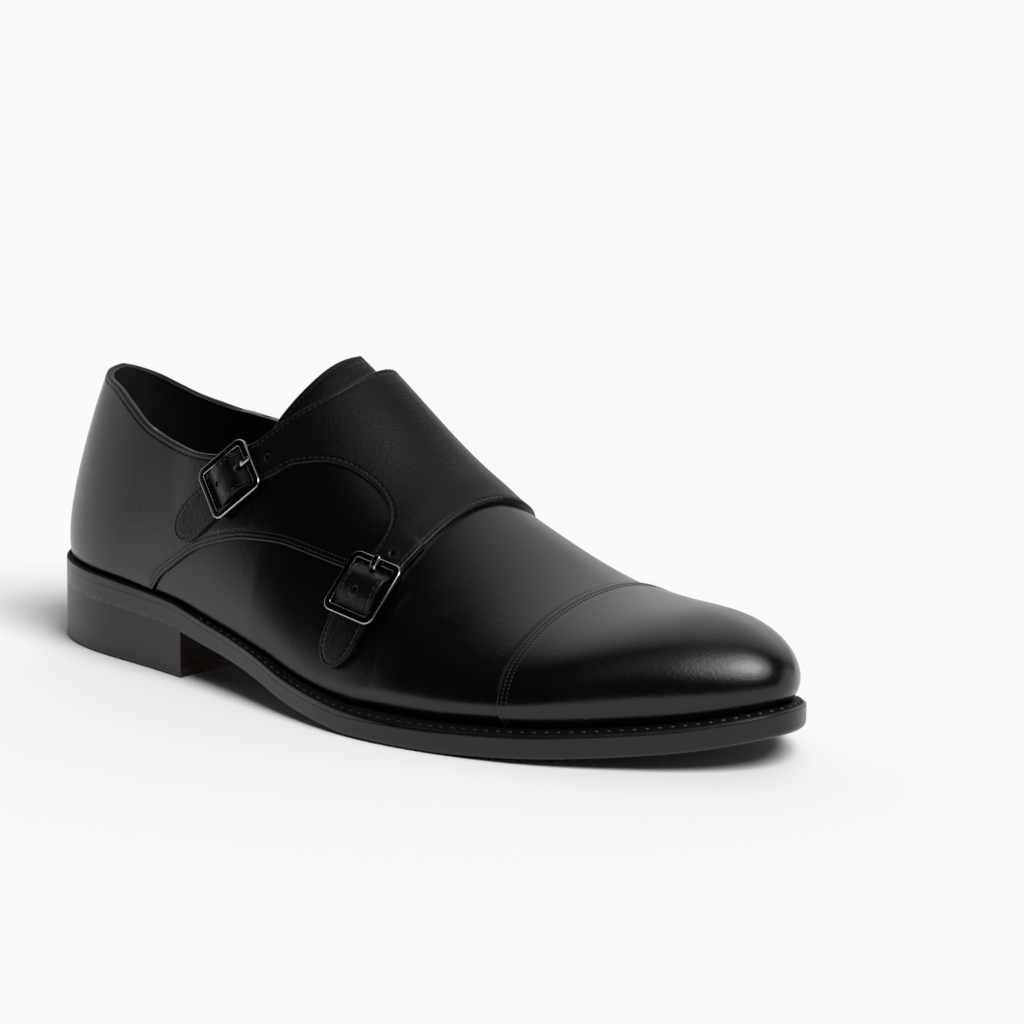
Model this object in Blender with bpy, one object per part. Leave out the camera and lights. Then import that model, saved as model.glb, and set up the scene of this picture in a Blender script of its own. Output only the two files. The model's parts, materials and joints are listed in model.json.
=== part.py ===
"""Right-foot monk strap shoe: cap toe, two buckled straps, welted leather sole and stacked heel.

Every leather piece follows one surface, the last, which last_surface() works out from the tables
below. A place on the last is given as (along, around):
    along   0 at the heel's back seam to 300 at the toe tip, in even steps round the sole's edge;
    around  -1 on the lateral sole line, 0 on the ridge of the instep, +1 on the medial sole line.
Tables and sizes are in millimetres. +X points to the toe, +Y to the medial side, +Z up.
"""
import math

import bmesh
import bpy
import numpy as np
from mathutils import Vector
from mathutils.geometry import delaunay_2d_cdt

MM = 0.001
ALONG_END = 300.0          # the along value at the toe tip
GAP = 0.3                  # clearance that meeting pieces keep
WELD = 0.06                # points of one piece closer than this are the same point


def eased(count):
    """Shares from 0 to 1 that lie closer together toward both ends."""
    even = np.linspace(0, 1, count)
    return 0.6 * even + 0.4 * (0.5 - 0.5 * np.cos(math.pi * even))


def table(columns, *rows):
    """Rows of numbers under named columns, as one array for each column."""
    return dict(zip(columns.split(), np.array(rows, float).T))


# ---------------------------------------------------------------------------------------------
# Driving dimensions

ORIGIN = (150.5, -4.43, 0.0)                  # the sole's middle, which becomes the part's origin
SOLE_EDGE = table(
    "x lateral medial",
    (30, -33.5, 28.5),
    (60, -38.2, 25.0),
    (90, -42.7, 20.5),
    (120, -49.0, 25.0),
    (150, -56.3, 36.0),
    (180, -60.5, 46.5),
    (210, -57.6, 51.5),
    (240, -48.5, 49.5),
    (265, -35.0, 41.0),
    (286, -20.3, 28.5))
HEEL_BACK = (0.0, -1.0)
HEEL_ROUND = ((7.5, -20.5), (7.0, 18.0))      # lateral and medial point on the heel's curve
TOE_ROUND = ((298.0, -7.2), (298.2, 13.5))    # lateral and medial point on the toe's curve
TOE_TIP = (301.0, 3.0)

SOLE_UNDERSIDE = table(                       # height of the outsole's lower face over the floor
    "x height",
    (-5, 18.3), (40, 17.8), (76, 16.5), (100, 12.8), (125, 8.4), (142, 4.2), (150, 2.8), (163, 1.1),
    (177, 0.0), (206, 0.0), (218, 0.4), (238, 1.5), (260, 3.6), (280, 6.3), (305, 12.0))

SOLE_REACH = table(                           # how far the sole's edge stands out past the upper
    "x lateral medial",
    (0, 2.0, 2.0), (80, 2.2, 2.0), (120, 2.9, 2.2), (160, 5.6, 3.5), (180, 6.7, 4.3),
    (200, 6.7, 5.0), (215, 6.4, 5.2), (250, 6.0, 5.5), (301, 5.8, 5.8))

OUTSOLE_THICKNESS = table("x thickness", (-5, 6.2), (170, 6.2), (215, 7.1), (305, 7.1))
SEAT = table(                                 # how far over the outsole the upper's feather line lies
    "x height",
    (0, 3.8), (50, 3.0), (90, 2.2), (110, 2.4), (142, 3.0), (160, 2.8), (180, 2.6), (206, 2.1), (305, 2.0))

LAST = table(                                 # swell is the bulge above the sole line
    "x ridge_height ridge_y lateral_power medial_power swell swell_height",
    (36, 113.8, -3.9, 1.21, 1.21, 0.062, 0.24),
    (60, 122.0, -1.0, 1.29, 1.50, 0.054, 0.25),
    (90, 121.0, 2.0, 1.32, 1.65, 0.046, 0.27),
    (110, 114.0, 4.5, 1.26, 1.66, 0.042, 0.28),
    (135, 97.0, 6.6, 1.14, 1.66, 0.038, 0.30),
    (160, 76.5, 8.0, 1.13, 1.75, 0.040, 0.32),
    (190, 58.5, 9.0, 1.43, 2.02, 0.057, 0.35),
    (220, 46.0, 9.0, 1.73, 2.36, 0.080, 0.36),
    (245, 42.5, 7.5, 2.30, 2.75, 0.105, 0.37),
    (262, 43.0, 6.0, 3.10, 3.10, 0.115, 0.37))
HEEL_CENTRE_X = 36.0                          # sections fan out round these two centres
TOE_CENTRE_X = 262.0
FAN_BLEND = 20.0

WELT_RIM = 1.8                                # height of the welt's outer face
WELT_BEVEL = 2.8                              # width of its sloping part
WELT_TUCK = 4.0                               # how far the welt runs in under the upper
RAND_ROUND = 0.8
HEEL_BREAST_X = 84.8
TOP_LIFT = 3.0
WALL = 2.0
CAP_THICKNESS = 1.2
CAP_PROUD = 0.9                               # the cap's outer face over the last
TONGUE_DROP = 0.9                             # the tongue's face below the wall's inner face
TONGUE_THICKNESS = 2.4
FLAP_OUTER = 2.5                              # the flap's outer face over the last
CAP_SEAM = 217.5                              # along

COLLAR = table(                               # the upper's top line on both sides
    "along lateral medial",
    (0, 0.367, 0.367), (16, 0.374, 0.393), (34, 0.390, 0.441), (42, 0.408, 0.471), (51, 0.450, 0.506),
    (64, 0.522, 0.556), (75, 0.555, 0.583), (84, 0.565, 0.592), (93, 0.554, 0.590), (100, 0.532, 0.560),
    (110, 0.492, 0.490), (122, 0.375, 0.375), (135, 0.235, 0.255), (148, 0.105, 0.120), (159, 0.0, 0.0))

TONGUE = table(                               # its two edges, from the top's corners to the throat
    "along lateral medial",
    (119.5, -0.130, 0.130), (116.5, -0.260, 0.265), (112.5, -0.375, 0.385), (111.0, -0.455, 0.475),
    (114.0, -0.515, 0.545), (122.0, -0.480, 0.515), (135.0, -0.380, 0.415), (150.0, -0.270, 0.300),
    (165.0, -0.190, 0.210), (179.0, -0.110, 0.120))

FLAP_TOP = table(                             # from the medial end over the ridge to the upper strap
    "along around",
    (95, 0.597), (102.6, 0.532), (110.4, 0.458), (118.2, 0.370), (124.8, 0.260), (128.6, 0.130),
    (129.3, 0.0), (128.5, -0.100), (126.6, -0.195), (123.6, -0.267), (120.0, -0.329), (115.8, -0.391),
    (113.1, -0.428), (110.1, -0.464), (108.0, -0.482))
FLAP_NOTCH = table(                           # the curved cut-out between the two straps
    "along around",
    (118.6, -0.502), (121.2, -0.474), (123.6, -0.446), (126.8, -0.419), (132.0, -0.377), (137.7, -0.340),
    (144.0, -0.315), (150.6, -0.306), (155.0, -0.319), (157.6, -0.347), (158.5, -0.385), (158.5, -0.420),
    (158.0, -0.449))
FLAP_FRONT = table(                           # from the lower strap over the ridge to the medial corner
    "along around",
    (169.7, -0.430), (170.1, -0.407), (170.7, -0.368), (171.4, -0.300), (172.4, -0.150), (173.3, -0.030), (174.2, 0.060), (174.8, 0.160),
    (173.6, 0.290), (170.4, 0.430), (167.1, 0.535))
FLAP_UNDER = table(                           # from the medial corner back along the waist
    "along around",
    (156.6, 0.578), (146.7, 0.612), (130.0, 0.660), (112.0, 0.720), (95.0, 0.780))

# A strap is laid out from its buckle: heading is the strap's direction on the last, in degrees up
# from straight to the toe; neck and tip are the distances from the buckle's middle to its two ends.
STRAPS = {
    "upper": dict(along=105.0, around=-0.573, heading=244.0, width=13.8, neck=9.5, tip=29.8),
    "lower": dict(along=161.8, around=-0.537, heading=275.5, width=15.2, neck=8.0, tip=25.6),
}
STRAP_TIP_ROUND = 10.0                        # length of the strap's rounded end
BUCKLE_LENGTH = 21.7                          # along the strap
BUCKLE_ROOM = 1.1                             # how much wider its opening is than the strap
BUCKLE_BAR = 2.4
CENTRE_BAR = 1.8
BUCKLE_THICKNESS = 1.7
BUCKLE_CORNER = 3.2
BUCKLE_HEIGHT = FLAP_OUTER + 0.5              # underside of the frame's ends over the last
BUCKLE_DIP = 2.3                              # how much lower the frame's middle lies
STRAP_LIFT = 3.0                              # how much the strap rises over the centre bar
STRAP_CREST = 1.8                             # from the centre bar toward the tip
STRAP_RISE, STRAP_FALL = 6.0, 3.6             # reach of the rise and of the steeper fall beyond it
PRONG_WIDTH = 2.0
PRONG_THICKNESS = 1.3
PRONG_ROOT = 5.0                              # from the buckle's middle, toward the flap
PRONG_END = 11.2

# ---------------------------------------------------------------------------------------------
# Interpolation


def cubic(knots, values, x):
    """Natural cubic spline through values at knots, read at x. values may have columns."""
    values = np.asarray(values, float)
    step = np.diff(knots)
    count = len(knots)
    system = np.eye(count)
    right = np.zeros(values.shape)
    for i in range(1, count - 1):
        system[i, i - 1:i + 2] = step[i - 1], 2 * (step[i - 1] + step[i]), step[i]
        right[i] = 6 * ((values[i + 1] - values[i]) / step[i] - (values[i] - values[i - 1]) / step[i - 1])
    bend = np.linalg.solve(system, right)
    k = np.clip(np.searchsorted(knots, x) - 1, 0, count - 2)
    t = np.asarray(x, float) - knots[k]
    h = step[k]
    if values.ndim > 1:
        t = t[..., None]
        h = h[..., None]
    slope = (values[k + 1] - values[k]) / h - h * (2 * bend[k] + bend[k + 1]) / 6
    return values[k] + slope * t + bend[k] / 2 * t ** 2 + (bend[k + 1] - bend[k]) / (6 * h) * t ** 3


def monotone(knots, values, x):
    """Cubic through values at knots that never overshoots them (Fritsch-Carlson slopes)."""
    secant = np.diff(values) / np.diff(knots)
    slope = np.zeros(len(knots))
    same_sign = secant[1:] * secant[:-1] > 0
    slope[1:-1][same_sign] = 2 * secant[1:][same_sign] * secant[:-1][same_sign] / (
        secant[1:][same_sign] + secant[:-1][same_sign])
    slope[0], slope[-1] = secant[0], secant[-1]
    x = np.clip(x, knots[0], knots[-1])
    k = np.clip(np.searchsorted(knots, x) - 1, 0, len(knots) - 2)
    h = knots[k + 1] - knots[k]
    t = (x - knots[k]) / h
    return (values[k] * (1 + 2 * t) * (1 - t) ** 2 + slope[k] * h * t * (1 - t) ** 2
            + values[k + 1] * t ** 2 * (3 - 2 * t) - slope[k + 1] * h * t ** 2 * (1 - t))


def smooth_max(a, b, blend):
    """The larger of a and b, rounded off where they are within blend of each other."""
    overlap = np.clip((a - b + blend) / (2 * blend), 0, 1)
    return np.where(overlap >= 1, a, b + blend * overlap ** 2)


# ---------------------------------------------------------------------------------------------
# Sole edge and last


def edge_halves(samples=401):
    """Lateral and medial half of the sole's edge, heel to toe, in even steps of arc length."""
    lateral = [HEEL_BACK, HEEL_ROUND[0], *zip(SOLE_EDGE["x"], SOLE_EDGE["lateral"]), TOE_ROUND[0], TOE_TIP]
    medial = [HEEL_BACK, HEEL_ROUND[1], *zip(SOLE_EDGE["x"], SOLE_EDGE["medial"]), TOE_ROUND[1], TOE_TIP]
    loop = np.array(lateral + medial[-2:0:-1], float)
    wrap = 3
    closed = np.vstack([loop[-wrap:], loop, loop[:wrap + 1]])
    chord = np.sqrt(np.hypot(*np.diff(closed, axis=0).T))
    knots = np.concatenate([[0.0], np.cumsum(chord)])

    def half(start, end):
        dense = cubic(knots, closed, np.linspace(knots[start], knots[end], 800))
        length = np.concatenate([[0.0], np.cumsum(np.hypot(*np.diff(dense, axis=0).T))])
        even = np.linspace(0, length[-1], samples)
        return np.stack([np.interp(even, length, dense[:, 0]), np.interp(even, length, dense[:, 1])], -1)

    toe = wrap + len(lateral) - 1
    return half(wrap, toe), half(wrap + len(loop), toe)


EDGE = dict(zip((-1, 1), edge_halves()))      # -1 lateral, +1 medial
REACH = {-1: "lateral", 1: "medial"}
FRACTION = np.linspace(0, 1, len(EDGE[-1]))


def inset_edge(side, inset):
    """One half of the sole's edge, moved inward by inset, a number or a value at each sample."""
    edge = EDGE[side]
    direction = np.gradient(edge, axis=0)
    inward = np.stack([side * direction[:, 1], -side * direction[:, 0]], -1)
    inward /= np.linalg.norm(inward, axis=1, keepdims=True)
    inward[0], inward[-1] = (1, 0), (-1, 0)
    return edge + inward * np.broadcast_to(inset, len(edge))[:, None]


def reach(side):
    return np.interp(EDGE[side][:, 0], SOLE_REACH["x"], SOLE_REACH[REACH[side]])


def underside(x):
    return monotone(SOLE_UNDERSIDE["x"], SOLE_UNDERSIDE["height"], x)


def outsole_top(x):
    return underside(x) + np.interp(x, OUTSOLE_THICKNESS["x"], OUTSOLE_THICKNESS["thickness"])


def sole_line(x):
    """Height at which the upper meets the sole: on the welt, or on the rand round the heel."""
    return outsole_top(x) + np.interp(x, SEAT["x"], SEAT["height"])


FEATHER = {side: inset_edge(side, reach(side)) for side in (-1, 1)}
MIDDLE_X = (FEATHER[-1][:, 0] + FEATHER[1][:, 0]) / 2
RIDGE_X = -smooth_max(-smooth_max(MIDDLE_X, HEEL_CENTRE_X, FAN_BLEND), -TOE_CENTRE_X, FAN_BLEND)
LAST_COLUMNS = np.stack([LAST[name] for name in (
    "ridge_height", "ridge_y", "lateral_power", "medial_power", "swell", "swell_height")], -1)


def last_surface(along, around):
    """Points of the last.

    A section runs from the sole line B up to the ridge R. At turn a = (1 - |around|) 90 deg:
        h = sin(a)^(2/power)                       height between B and R
        w = cos(a) (1 + swell k e^(1-k))           reach from R toward B, with k = h / swell_height
        x = Rx + (Bx - Rx) w,  y = Ry + (By - Ry) w,  z = Bz + (Rz - Bz) h
    """
    along, around = np.broadcast_arrays(np.asarray(along, float), np.asarray(around, float))
    t = np.clip(along / ALONG_END, 0, 1)
    ridge_x = np.interp(t, FRACTION, RIDGE_X)
    height, ridge_y, lateral_power, medial_power, swell, swell_height = np.moveaxis(
        cubic(LAST["x"], LAST_COLUMNS, ridge_x), -1, 0)
    is_lateral = around < 0
    foot_x, foot_y = (np.where(is_lateral, np.interp(t, FRACTION, FEATHER[-1][:, axis]),
                               np.interp(t, FRACTION, FEATHER[1][:, axis])) for axis in (0, 1))
    power = np.where(is_lateral, lateral_power, medial_power)
    turn = (1 - np.abs(around)) * math.pi / 2
    h = np.clip(np.sin(turn), 0, 1) ** (2 / power)
    k = h / swell_height
    w = np.cos(turn) * (1 + swell * k * np.exp(1 - k))
    foot_z = sole_line(foot_x) + GAP
    return np.stack([ridge_x + (foot_x - ridge_x) * w, ridge_y + (foot_y - ridge_y) * w,
                     foot_z + (height - foot_z) * h], -1)


def last_slopes(along, around):
    """The last's two tangents at a place, for one unit of along and one of around.

    Where the halves meet at the heel's seam and the toe's tip the first runs straight across.
    """
    along, around = np.broadcast_arrays(np.asarray(along, float), np.asarray(around, float))
    back, ahead = np.clip(along - 0.3, 0, ALONG_END), np.clip(along + 0.3, 0, ALONG_END)
    off_ridge = np.where(np.abs(around) < 0.012, np.where(around < 0, -0.012, 0.012), around)
    low, high = np.clip(off_ridge - 0.002, -1, 1), np.clip(off_ridge + 0.002, -1, 1)
    d_along = (last_surface(ahead, off_ridge) - last_surface(back, off_ridge)) / (ahead - back)[..., None]
    d_around = (last_surface(along, high) - last_surface(along, low)) / (high - low)[..., None]
    end = (along <= 0) * 1.0 - (along >= ALONG_END)
    across = np.stack([0 * end, end * np.sign(off_ridge), 0 * end], -1)
    return np.where(end[..., None] == 0, d_along, across), d_around


def last_normal(along, around):
    normal = np.cross(*last_slopes(along, around))
    return normal / np.linalg.norm(normal, axis=-1, keepdims=True)


def skin(along, around, height):
    """Points at a height over the last, which is a number or an array."""
    return last_surface(along, around) + np.asarray(height)[..., None] * last_normal(along, around)


# ---------------------------------------------------------------------------------------------
# Meshes

def material(name, colour, roughness, metallic=0.0):
    made = bpy.data.materials.new(name)
    made.use_nodes = True
    shader = made.node_tree.nodes["Principled BSDF"]
    shader.inputs["Base Color"].default_value = (*colour, 1)
    shader.inputs["Roughness"].default_value = roughness
    shader.inputs["Metallic"].default_value = metallic
    return made


def add_node(name, points, faces, surface_material):
    """A named object from points in millimetres, closed by welding the points that coincide."""
    mesh = bpy.data.meshes.new(name)
    corners = [tuple(point) for point in (np.asarray(points, float) - ORIGIN) * MM]
    mesh.from_pydata(corners, [], [tuple(map(int, face)) for face in faces])
    shape = bmesh.new()
    shape.from_mesh(mesh)
    bmesh.ops.remove_doubles(shape, verts=shape.verts, dist=WELD * MM)
    bmesh.ops.dissolve_degenerate(shape, edges=shape.edges, dist=WELD * MM)
    bmesh.ops.recalc_face_normals(shape, faces=shape.faces)
    shape.to_mesh(mesh)
    shape.free()
    mesh.shade_smooth()
    mesh.set_sharp_from_angle(angle=math.radians(40))
    node = bpy.data.objects.new(name, mesh)
    node.data.materials.append(surface_material)
    bpy.context.collection.objects.link(node)
    return node


def lofted(rings, close_ends):
    """Points and quads through rings of equal length; each ring is a closed section."""
    rings = np.asarray(rings)
    count, size = rings.shape[:2]
    faces = []
    for i in range(count - 1):
        for j in range(size):
            k = (j + 1) % size
            faces.append((i * size + j, i * size + k, (i + 1) * size + k, (i + 1) * size + j))
    if close_ends:
        faces.append(tuple(range(size)))
        faces.append(tuple(range((count - 1) * size, count * size)))
    return rings.reshape(-1, 3), faces


def inside(points, outline):
    """Even-odd test of 2-D points against a closed outline."""
    x, y = points[:, 0:1], points[:, 1:2]
    x0, y0 = outline[:, 0], outline[:, 1]
    x1, y1 = np.roll(x0, -1), np.roll(y0, -1)
    spans = (y0 > y) != (y1 > y)
    rise = np.where(y1 == y0, 1, y1 - y0)
    return (spans & (x < x0 + (y - y0) * (x1 - x0) / rise)).sum(1) % 2 == 1


def densified(outline, spacing):
    """A closed outline with no edge longer than spacing."""
    points = []
    for start, end in zip(outline, np.roll(outline, -1, axis=0)):
        pieces = max(1, math.ceil(np.linalg.norm(end - start) / spacing))
        points.extend(start + (end - start) * step / pieces for step in range(pieces))
    return np.array(points)


def triangulated(loops, spacing, fixed=()):
    """Triangles over a flat region: the first loop is its outline, the others are holes in it.

    The fixed points are corners of triangles too; an even grid fills the rest.
    """
    loops = [densified(np.asarray(loop, float), spacing) for loop in loops]
    low, high = loops[0].min(0), loops[0].max(0)
    grid = np.stack(np.meshgrid(np.arange(low[0], high[0], spacing), np.arange(low[1], high[1], spacing)), -1)
    grid = grid.reshape(-1, 2) + spacing / 2
    keep = inside(grid, loops[0])
    for loop in loops[1:]:
        keep &= ~inside(grid, loop)
    rim = np.concatenate([*loops, *fixed])
    for point in rim:
        keep &= np.hypot(*(grid - point).T) > 0.55 * spacing
    points = np.concatenate([rim, grid[keep]])
    edges = []
    start = 0
    for loop in loops:
        edges += [(start + i, start + (i + 1) % len(loop)) for i in range(len(loop))]
        start += len(loop)
    flat, _, faces, *_ = delaunay_2d_cdt([Vector(p) for p in points], edges, [], 0, 1e-7)
    flat = np.array([tuple(p) for p in flat])
    centres = np.array([flat[list(face)].mean(0) for face in faces])
    wanted = inside(centres, loops[0])
    for loop in loops[1:]:
        wanted &= ~inside(centres, loop)
    return flat, [face for face, ok in zip(faces, wanted) if ok]


def slab(flat, faces, lower, upper):
    """A closed solid between two maps of a flat triangulation."""
    count = len(flat)
    walls = {}
    for a, b, c in faces:
        for edge in ((a, b), (b, c), (c, a)):
            if edge[::-1] in walls:
                del walls[edge[::-1]]
            else:
                walls[edge] = True
    solid = [tuple(face) for face in faces] + [tuple(count + i for i in reversed(face)) for face in faces]
    solid += [(b, a, count + a, count + b) for a, b in walls]
    return np.concatenate([upper(flat), lower(flat)]), solid


AROUND_SCALE = 95.0                            # millimetres to one unit of around, for even triangles
ALONG_SCALE = 1.12


def leather_slab(outline, spacing, inner, outer, fixed=()):
    """A panel of leather over the last; inner and outer give its heights from (along, around)."""
    scale = np.array([ALONG_SCALE, AROUND_SCALE])
    flat, faces = triangulated([np.asarray(outline) * scale], spacing, [np.asarray(f) * scale for f in fixed])

    def at(height):
        return lambda places: skin(*(places / scale).T, height(*(places / scale).T))

    return slab(flat, faces, at(inner), at(outer))


# ---------------------------------------------------------------------------------------------
# Sole


def plan_solid(inset, bottom, top, first=0.0, last=1.0, columns=44, rows=4):
    """A flat layer between the two halves of the sole's edge; bottom and top give heights from x.

    inset maps a side to the distances inside the edge; first and last are shares of the way
    from heel to toe, and a share of 0 or 1 closes the layer round the heel or the toe.
    """
    t = first + (last - first) * eased(columns)
    halves = {side: inset_edge(side, inset(side)) for side in (-1, 1)}
    left, right = (np.stack([np.interp(t, FRACTION, halves[side][:, axis]) for axis in (0, 1)], -1)
                   for side in (-1, 1))
    across = np.linspace(0, 1, rows + 1)[None, :, None]
    flat = left[:, None] * (1 - across) + right[:, None] * across
    upper = np.concatenate([flat, top(flat[..., :1])], -1)
    lower = np.concatenate([flat, bottom(flat[..., :1])], -1)
    rings = np.concatenate([upper, lower[:, ::-1]], 1)
    return lofted(rings, True)


def share_at(side, x):
    """The share of the way from heel to toe at which one half of the sole's edge passes x."""
    front = slice(int(np.argmin(EDGE[side][:, 0])), int(np.argmax(EDGE[side][:, 0])) + 1)
    return np.interp(x, EDGE[side][front, 0], FRACTION[front])


def edge_band(section, breast_x, round_toe, samples):
    """A band that follows the sole's edge round the toe or the heel, ending at breast_x.

    section(side, x) gives its ring as (inset, height over the outsole) pairs, x being the sole's edge.
    """
    legs = []
    for side in (-1, 1):
        start, end = (share_at(side, breast_x), 1.0) if round_toe else (share_at(side, breast_x), 0.0)
        shares = np.linspace(start, end, samples)
        rows = []
        for inset, height in section(side, EDGE[side][:, 0]):
            flat = inset_edge(side, inset)
            line = np.column_stack([flat, outsole_top(flat[:, 0]) + height])
            rows.append(np.stack([np.interp(shares, FRACTION, line[:, axis]) for axis in range(3)], -1))
        legs.append(np.stack(rows, 1))
    rings = np.concatenate([legs[0], legs[1][::-1][1:]])
    return lofted(rings, True)


def make_sole(black_edge, tan_leather, rubber):
    def full(side):
        return 0.0

    add_node("outsole", *plan_solid(full, underside, outsole_top), black_edge)

    def welt_ring(side, x):
        thick = np.interp(x, SEAT["x"], SEAT["height"])
        deep = reach(side) + WELT_TUCK
        bevel = np.minimum(WELT_BEVEL, 0.75 * reach(side))
        rim = np.minimum(WELT_RIM, 0.75 * thick)
        return [(0 * x, 0 * x + GAP), (0 * x, rim), (bevel, thick), (deep, thick), (deep, 0 * x + GAP)]

    add_node("welt", *edge_band(welt_ring, HEEL_BREAST_X + GAP, True, 44), black_edge)

    def rand_ring(side, x):
        thick = np.interp(x, SEAT["x"], SEAT["height"])
        deep = reach(side) + WELT_TUCK
        return [(0 * x, 0 * x + GAP), (0 * x, thick - RAND_ROUND), (0 * x + RAND_ROUND, thick),
                (deep, thick), (deep, 0 * x + GAP)]

    add_node("heel_rand", *edge_band(rand_ring, HEEL_BREAST_X, False, 20), black_edge)

    def heel_layer(name, bottom, top, surface):
        breast = (share_at(-1, HEEL_BREAST_X) + share_at(1, HEEL_BREAST_X)) / 2
        add_node(name, *plan_solid(full, bottom, top, 0.0, breast, 18), surface)

    heel_layer("heel_stack", lambda x: 0 * x + TOP_LIFT + GAP, lambda x: underside(x) - GAP, tan_leather)
    heel_layer("heel_top_lift", lambda x: 0 * x, lambda x: 0 * x + TOP_LIFT, rubber)

    def under_upper(side):
        return reach(side) + WELT_TUCK + GAP

    def insole_bottom(x):
        return outsole_top(x) + GAP

    add_node("insole", *plan_solid(under_upper, insole_bottom, sole_line), tan_leather)


# ---------------------------------------------------------------------------------------------
# Upper, cap and tongue


UPPER_COLUMNS, UPPER_ROWS = 50, 11


def cap_relief(along):
    """How far the upper steps in under the toe cap."""
    under_cap = np.clip((along - CAP_SEAM) / 2.0 + 1.2, 0, 1)
    return -(CAP_THICKNESS + GAP - CAP_PROUD) * under_cap


def upper_columns():
    """The along values of the upper's mesh, and which of them is the cap's seam."""
    along = ALONG_END * eased(UPPER_COLUMNS)
    seam = int(np.argmin(np.abs(along - CAP_SEAM)))
    along[seam - 1:seam + 1] = CAP_SEAM - 2.4, CAP_SEAM - 0.4
    return along, seam


def make_upper(black_leather):
    """The upper as one hollow wall, open at the collar and throat and along the sole."""
    along, _ = upper_columns()
    columns, rows = UPPER_COLUMNS, UPPER_ROWS
    share = np.linspace(0, 1, rows + 1)
    points, faces, offset = [], [], 0
    for side in (-1, 1):
        rim = np.where(along < COLLAR["along"][-1], monotone(COLLAR["along"], COLLAR[REACH[side]], along), 0)
        around = side * (rim[:, None] + (1 - rim[:, None]) * share[None, :])
        places = np.broadcast_to(along[:, None], around.shape)
        outer = cap_relief(places)
        wall = np.stack([skin(places, around, outer), skin(places, around, outer - WALL)], 1)
        wall[:, 1, -1, 2] = wall[:, 0, -1, 2]
        grid = wall.reshape(columns, -1, 3)
        points.append(grid.reshape(-1, 3))
        width = 2 * (rows + 1)
        for i in range(columns - 1):
            here, after = offset + i * width, offset + (i + 1) * width
            for first in (0, rows + 1):
                for j in range(first, first + rows):
                    faces.append((here + j, here + j + 1, after + j + 1, after + j))
            faces.append((here + rows, here + width - 1, after + width - 1, after + rows))
            if rim[i] > 0:
                faces.append((here, after, after + rows + 1, here + rows + 1))
        offset += columns * width
    add_node("upper", np.concatenate(points), faces, black_leather)


def make_toe_cap(black_leather):
    """The cap, on the same mesh lines as the upper under it, so the gap between them is even."""
    along, seam = upper_columns()
    columns = np.concatenate([[CAP_SEAM], along[seam + 1:]])
    around = np.linspace(-1, 1, 2 * UPPER_ROWS + 1)
    around[0], around[-1] = -0.985, 0.985
    width = len(around)
    places = np.meshgrid(columns, around, indexing="ij")
    points = np.concatenate([skin(*places, CAP_PROUD), skin(*places, CAP_PROUD - CAP_THICKNESS)], 1)
    faces = []
    size = 2 * width
    for i in range(len(columns) - 1):
        here, after = i * size, (i + 1) * size
        for first in (0, width):
            for j in range(first, first + width - 1):
                faces.append((here + j, here + j + 1, after + j + 1, after + j))
        for rim in (0, width - 1):
            faces.append((here + rim, after + rim, after + rim + width, here + rim + width))
    for j in range(width - 1):
        faces.append((j, j + 1, j + 1 + width, j + width))
    add_node("toe_cap", points.reshape(-1, 3), faces, black_leather)


def make_tongue(black_leather):
    outline = [(121.0, 0.0), *zip(TONGUE["along"], TONGUE["lateral"]), (186.0, 0.0),
               *zip(TONGUE["along"][::-1], TONGUE["medial"][::-1])]
    top = -(WALL + TONGUE_DROP)

    def inner(along, around):
        return 0 * along + top - TONGUE_THICKNESS

    def outer(along, around):
        return 0 * along + top

    add_node("tongue", *leather_slab(outline, 5.5, inner, outer), black_leather)


# ---------------------------------------------------------------------------------------------
# Flap, straps and buckles


BOW_STEPS = np.arange(-6.0, 9.0, 2.0)          # along the strap, over the centre bar


class Strap:
    """A strap's own frame on the last: s runs toward its tip, w across it, both in millimetres."""

    def __init__(self, along, around, heading, width, neck, tip):
        self.centre = np.array([along, around])
        self.width, self.neck, self.tip = width, neck, tip
        d_along, d_around = last_slopes(along, around)
        self.normal = last_normal(along, around)
        ahead = d_along / np.linalg.norm(d_along)
        up = np.cross(ahead, -self.normal)
        up = up if up[2] > 0 else -up
        angle = math.radians(heading)
        self.s_axis = math.cos(angle) * ahead + math.sin(angle) * up
        self.w_axis = np.cross(self.normal, self.s_axis)
        self.origin = last_surface(along, around)
        self.to_places = np.linalg.pinv(np.stack([d_along, d_around], 1))

    def place(self, s, w):
        """The (along, around) that lies s toward the tip and w across from the buckle's middle."""
        found = self.centre
        for _ in range(12):
            here_s, here_w = self.along_strap(*found)
            found = found + self.to_places @ ((s - here_s) * self.s_axis + (w - here_w) * self.w_axis)
        return found

    def along_strap(self, along, around):
        """The distance s and w of places on the last from the buckle's middle."""
        offset = last_surface(along, around) - self.origin
        return offset @ self.s_axis, offset @ self.w_axis

    def point(self, s, w, height):
        """A point in the buckle's flat frame, height over the last at the buckle's middle."""
        return self.origin + s * self.s_axis + w * self.w_axis + height * self.normal

    def outline(self):
        """The strap's edge from its upper-left neck round the tip to the other neck."""
        half = self.width / 2
        straight = self.tip - STRAP_TIP_ROUND
        bow = BOW_STEPS.tolist()
        runs = [(s, half) for s in [-self.neck, *bow, straight]]
        for turn in np.linspace(0, math.pi, 11)[1:-1]:
            runs.append((straight + STRAP_TIP_ROUND * math.sin(turn), half * math.cos(turn)))
        runs += [(s, -half) for s in [straight, *bow[::-1], -self.neck]]
        return [self.place(s, w) for s, w in runs]

    def bow_points(self):
        return [self.place(s, w) for s in BOW_STEPS for w in (-3.5, 0.0, 3.5)]


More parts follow.
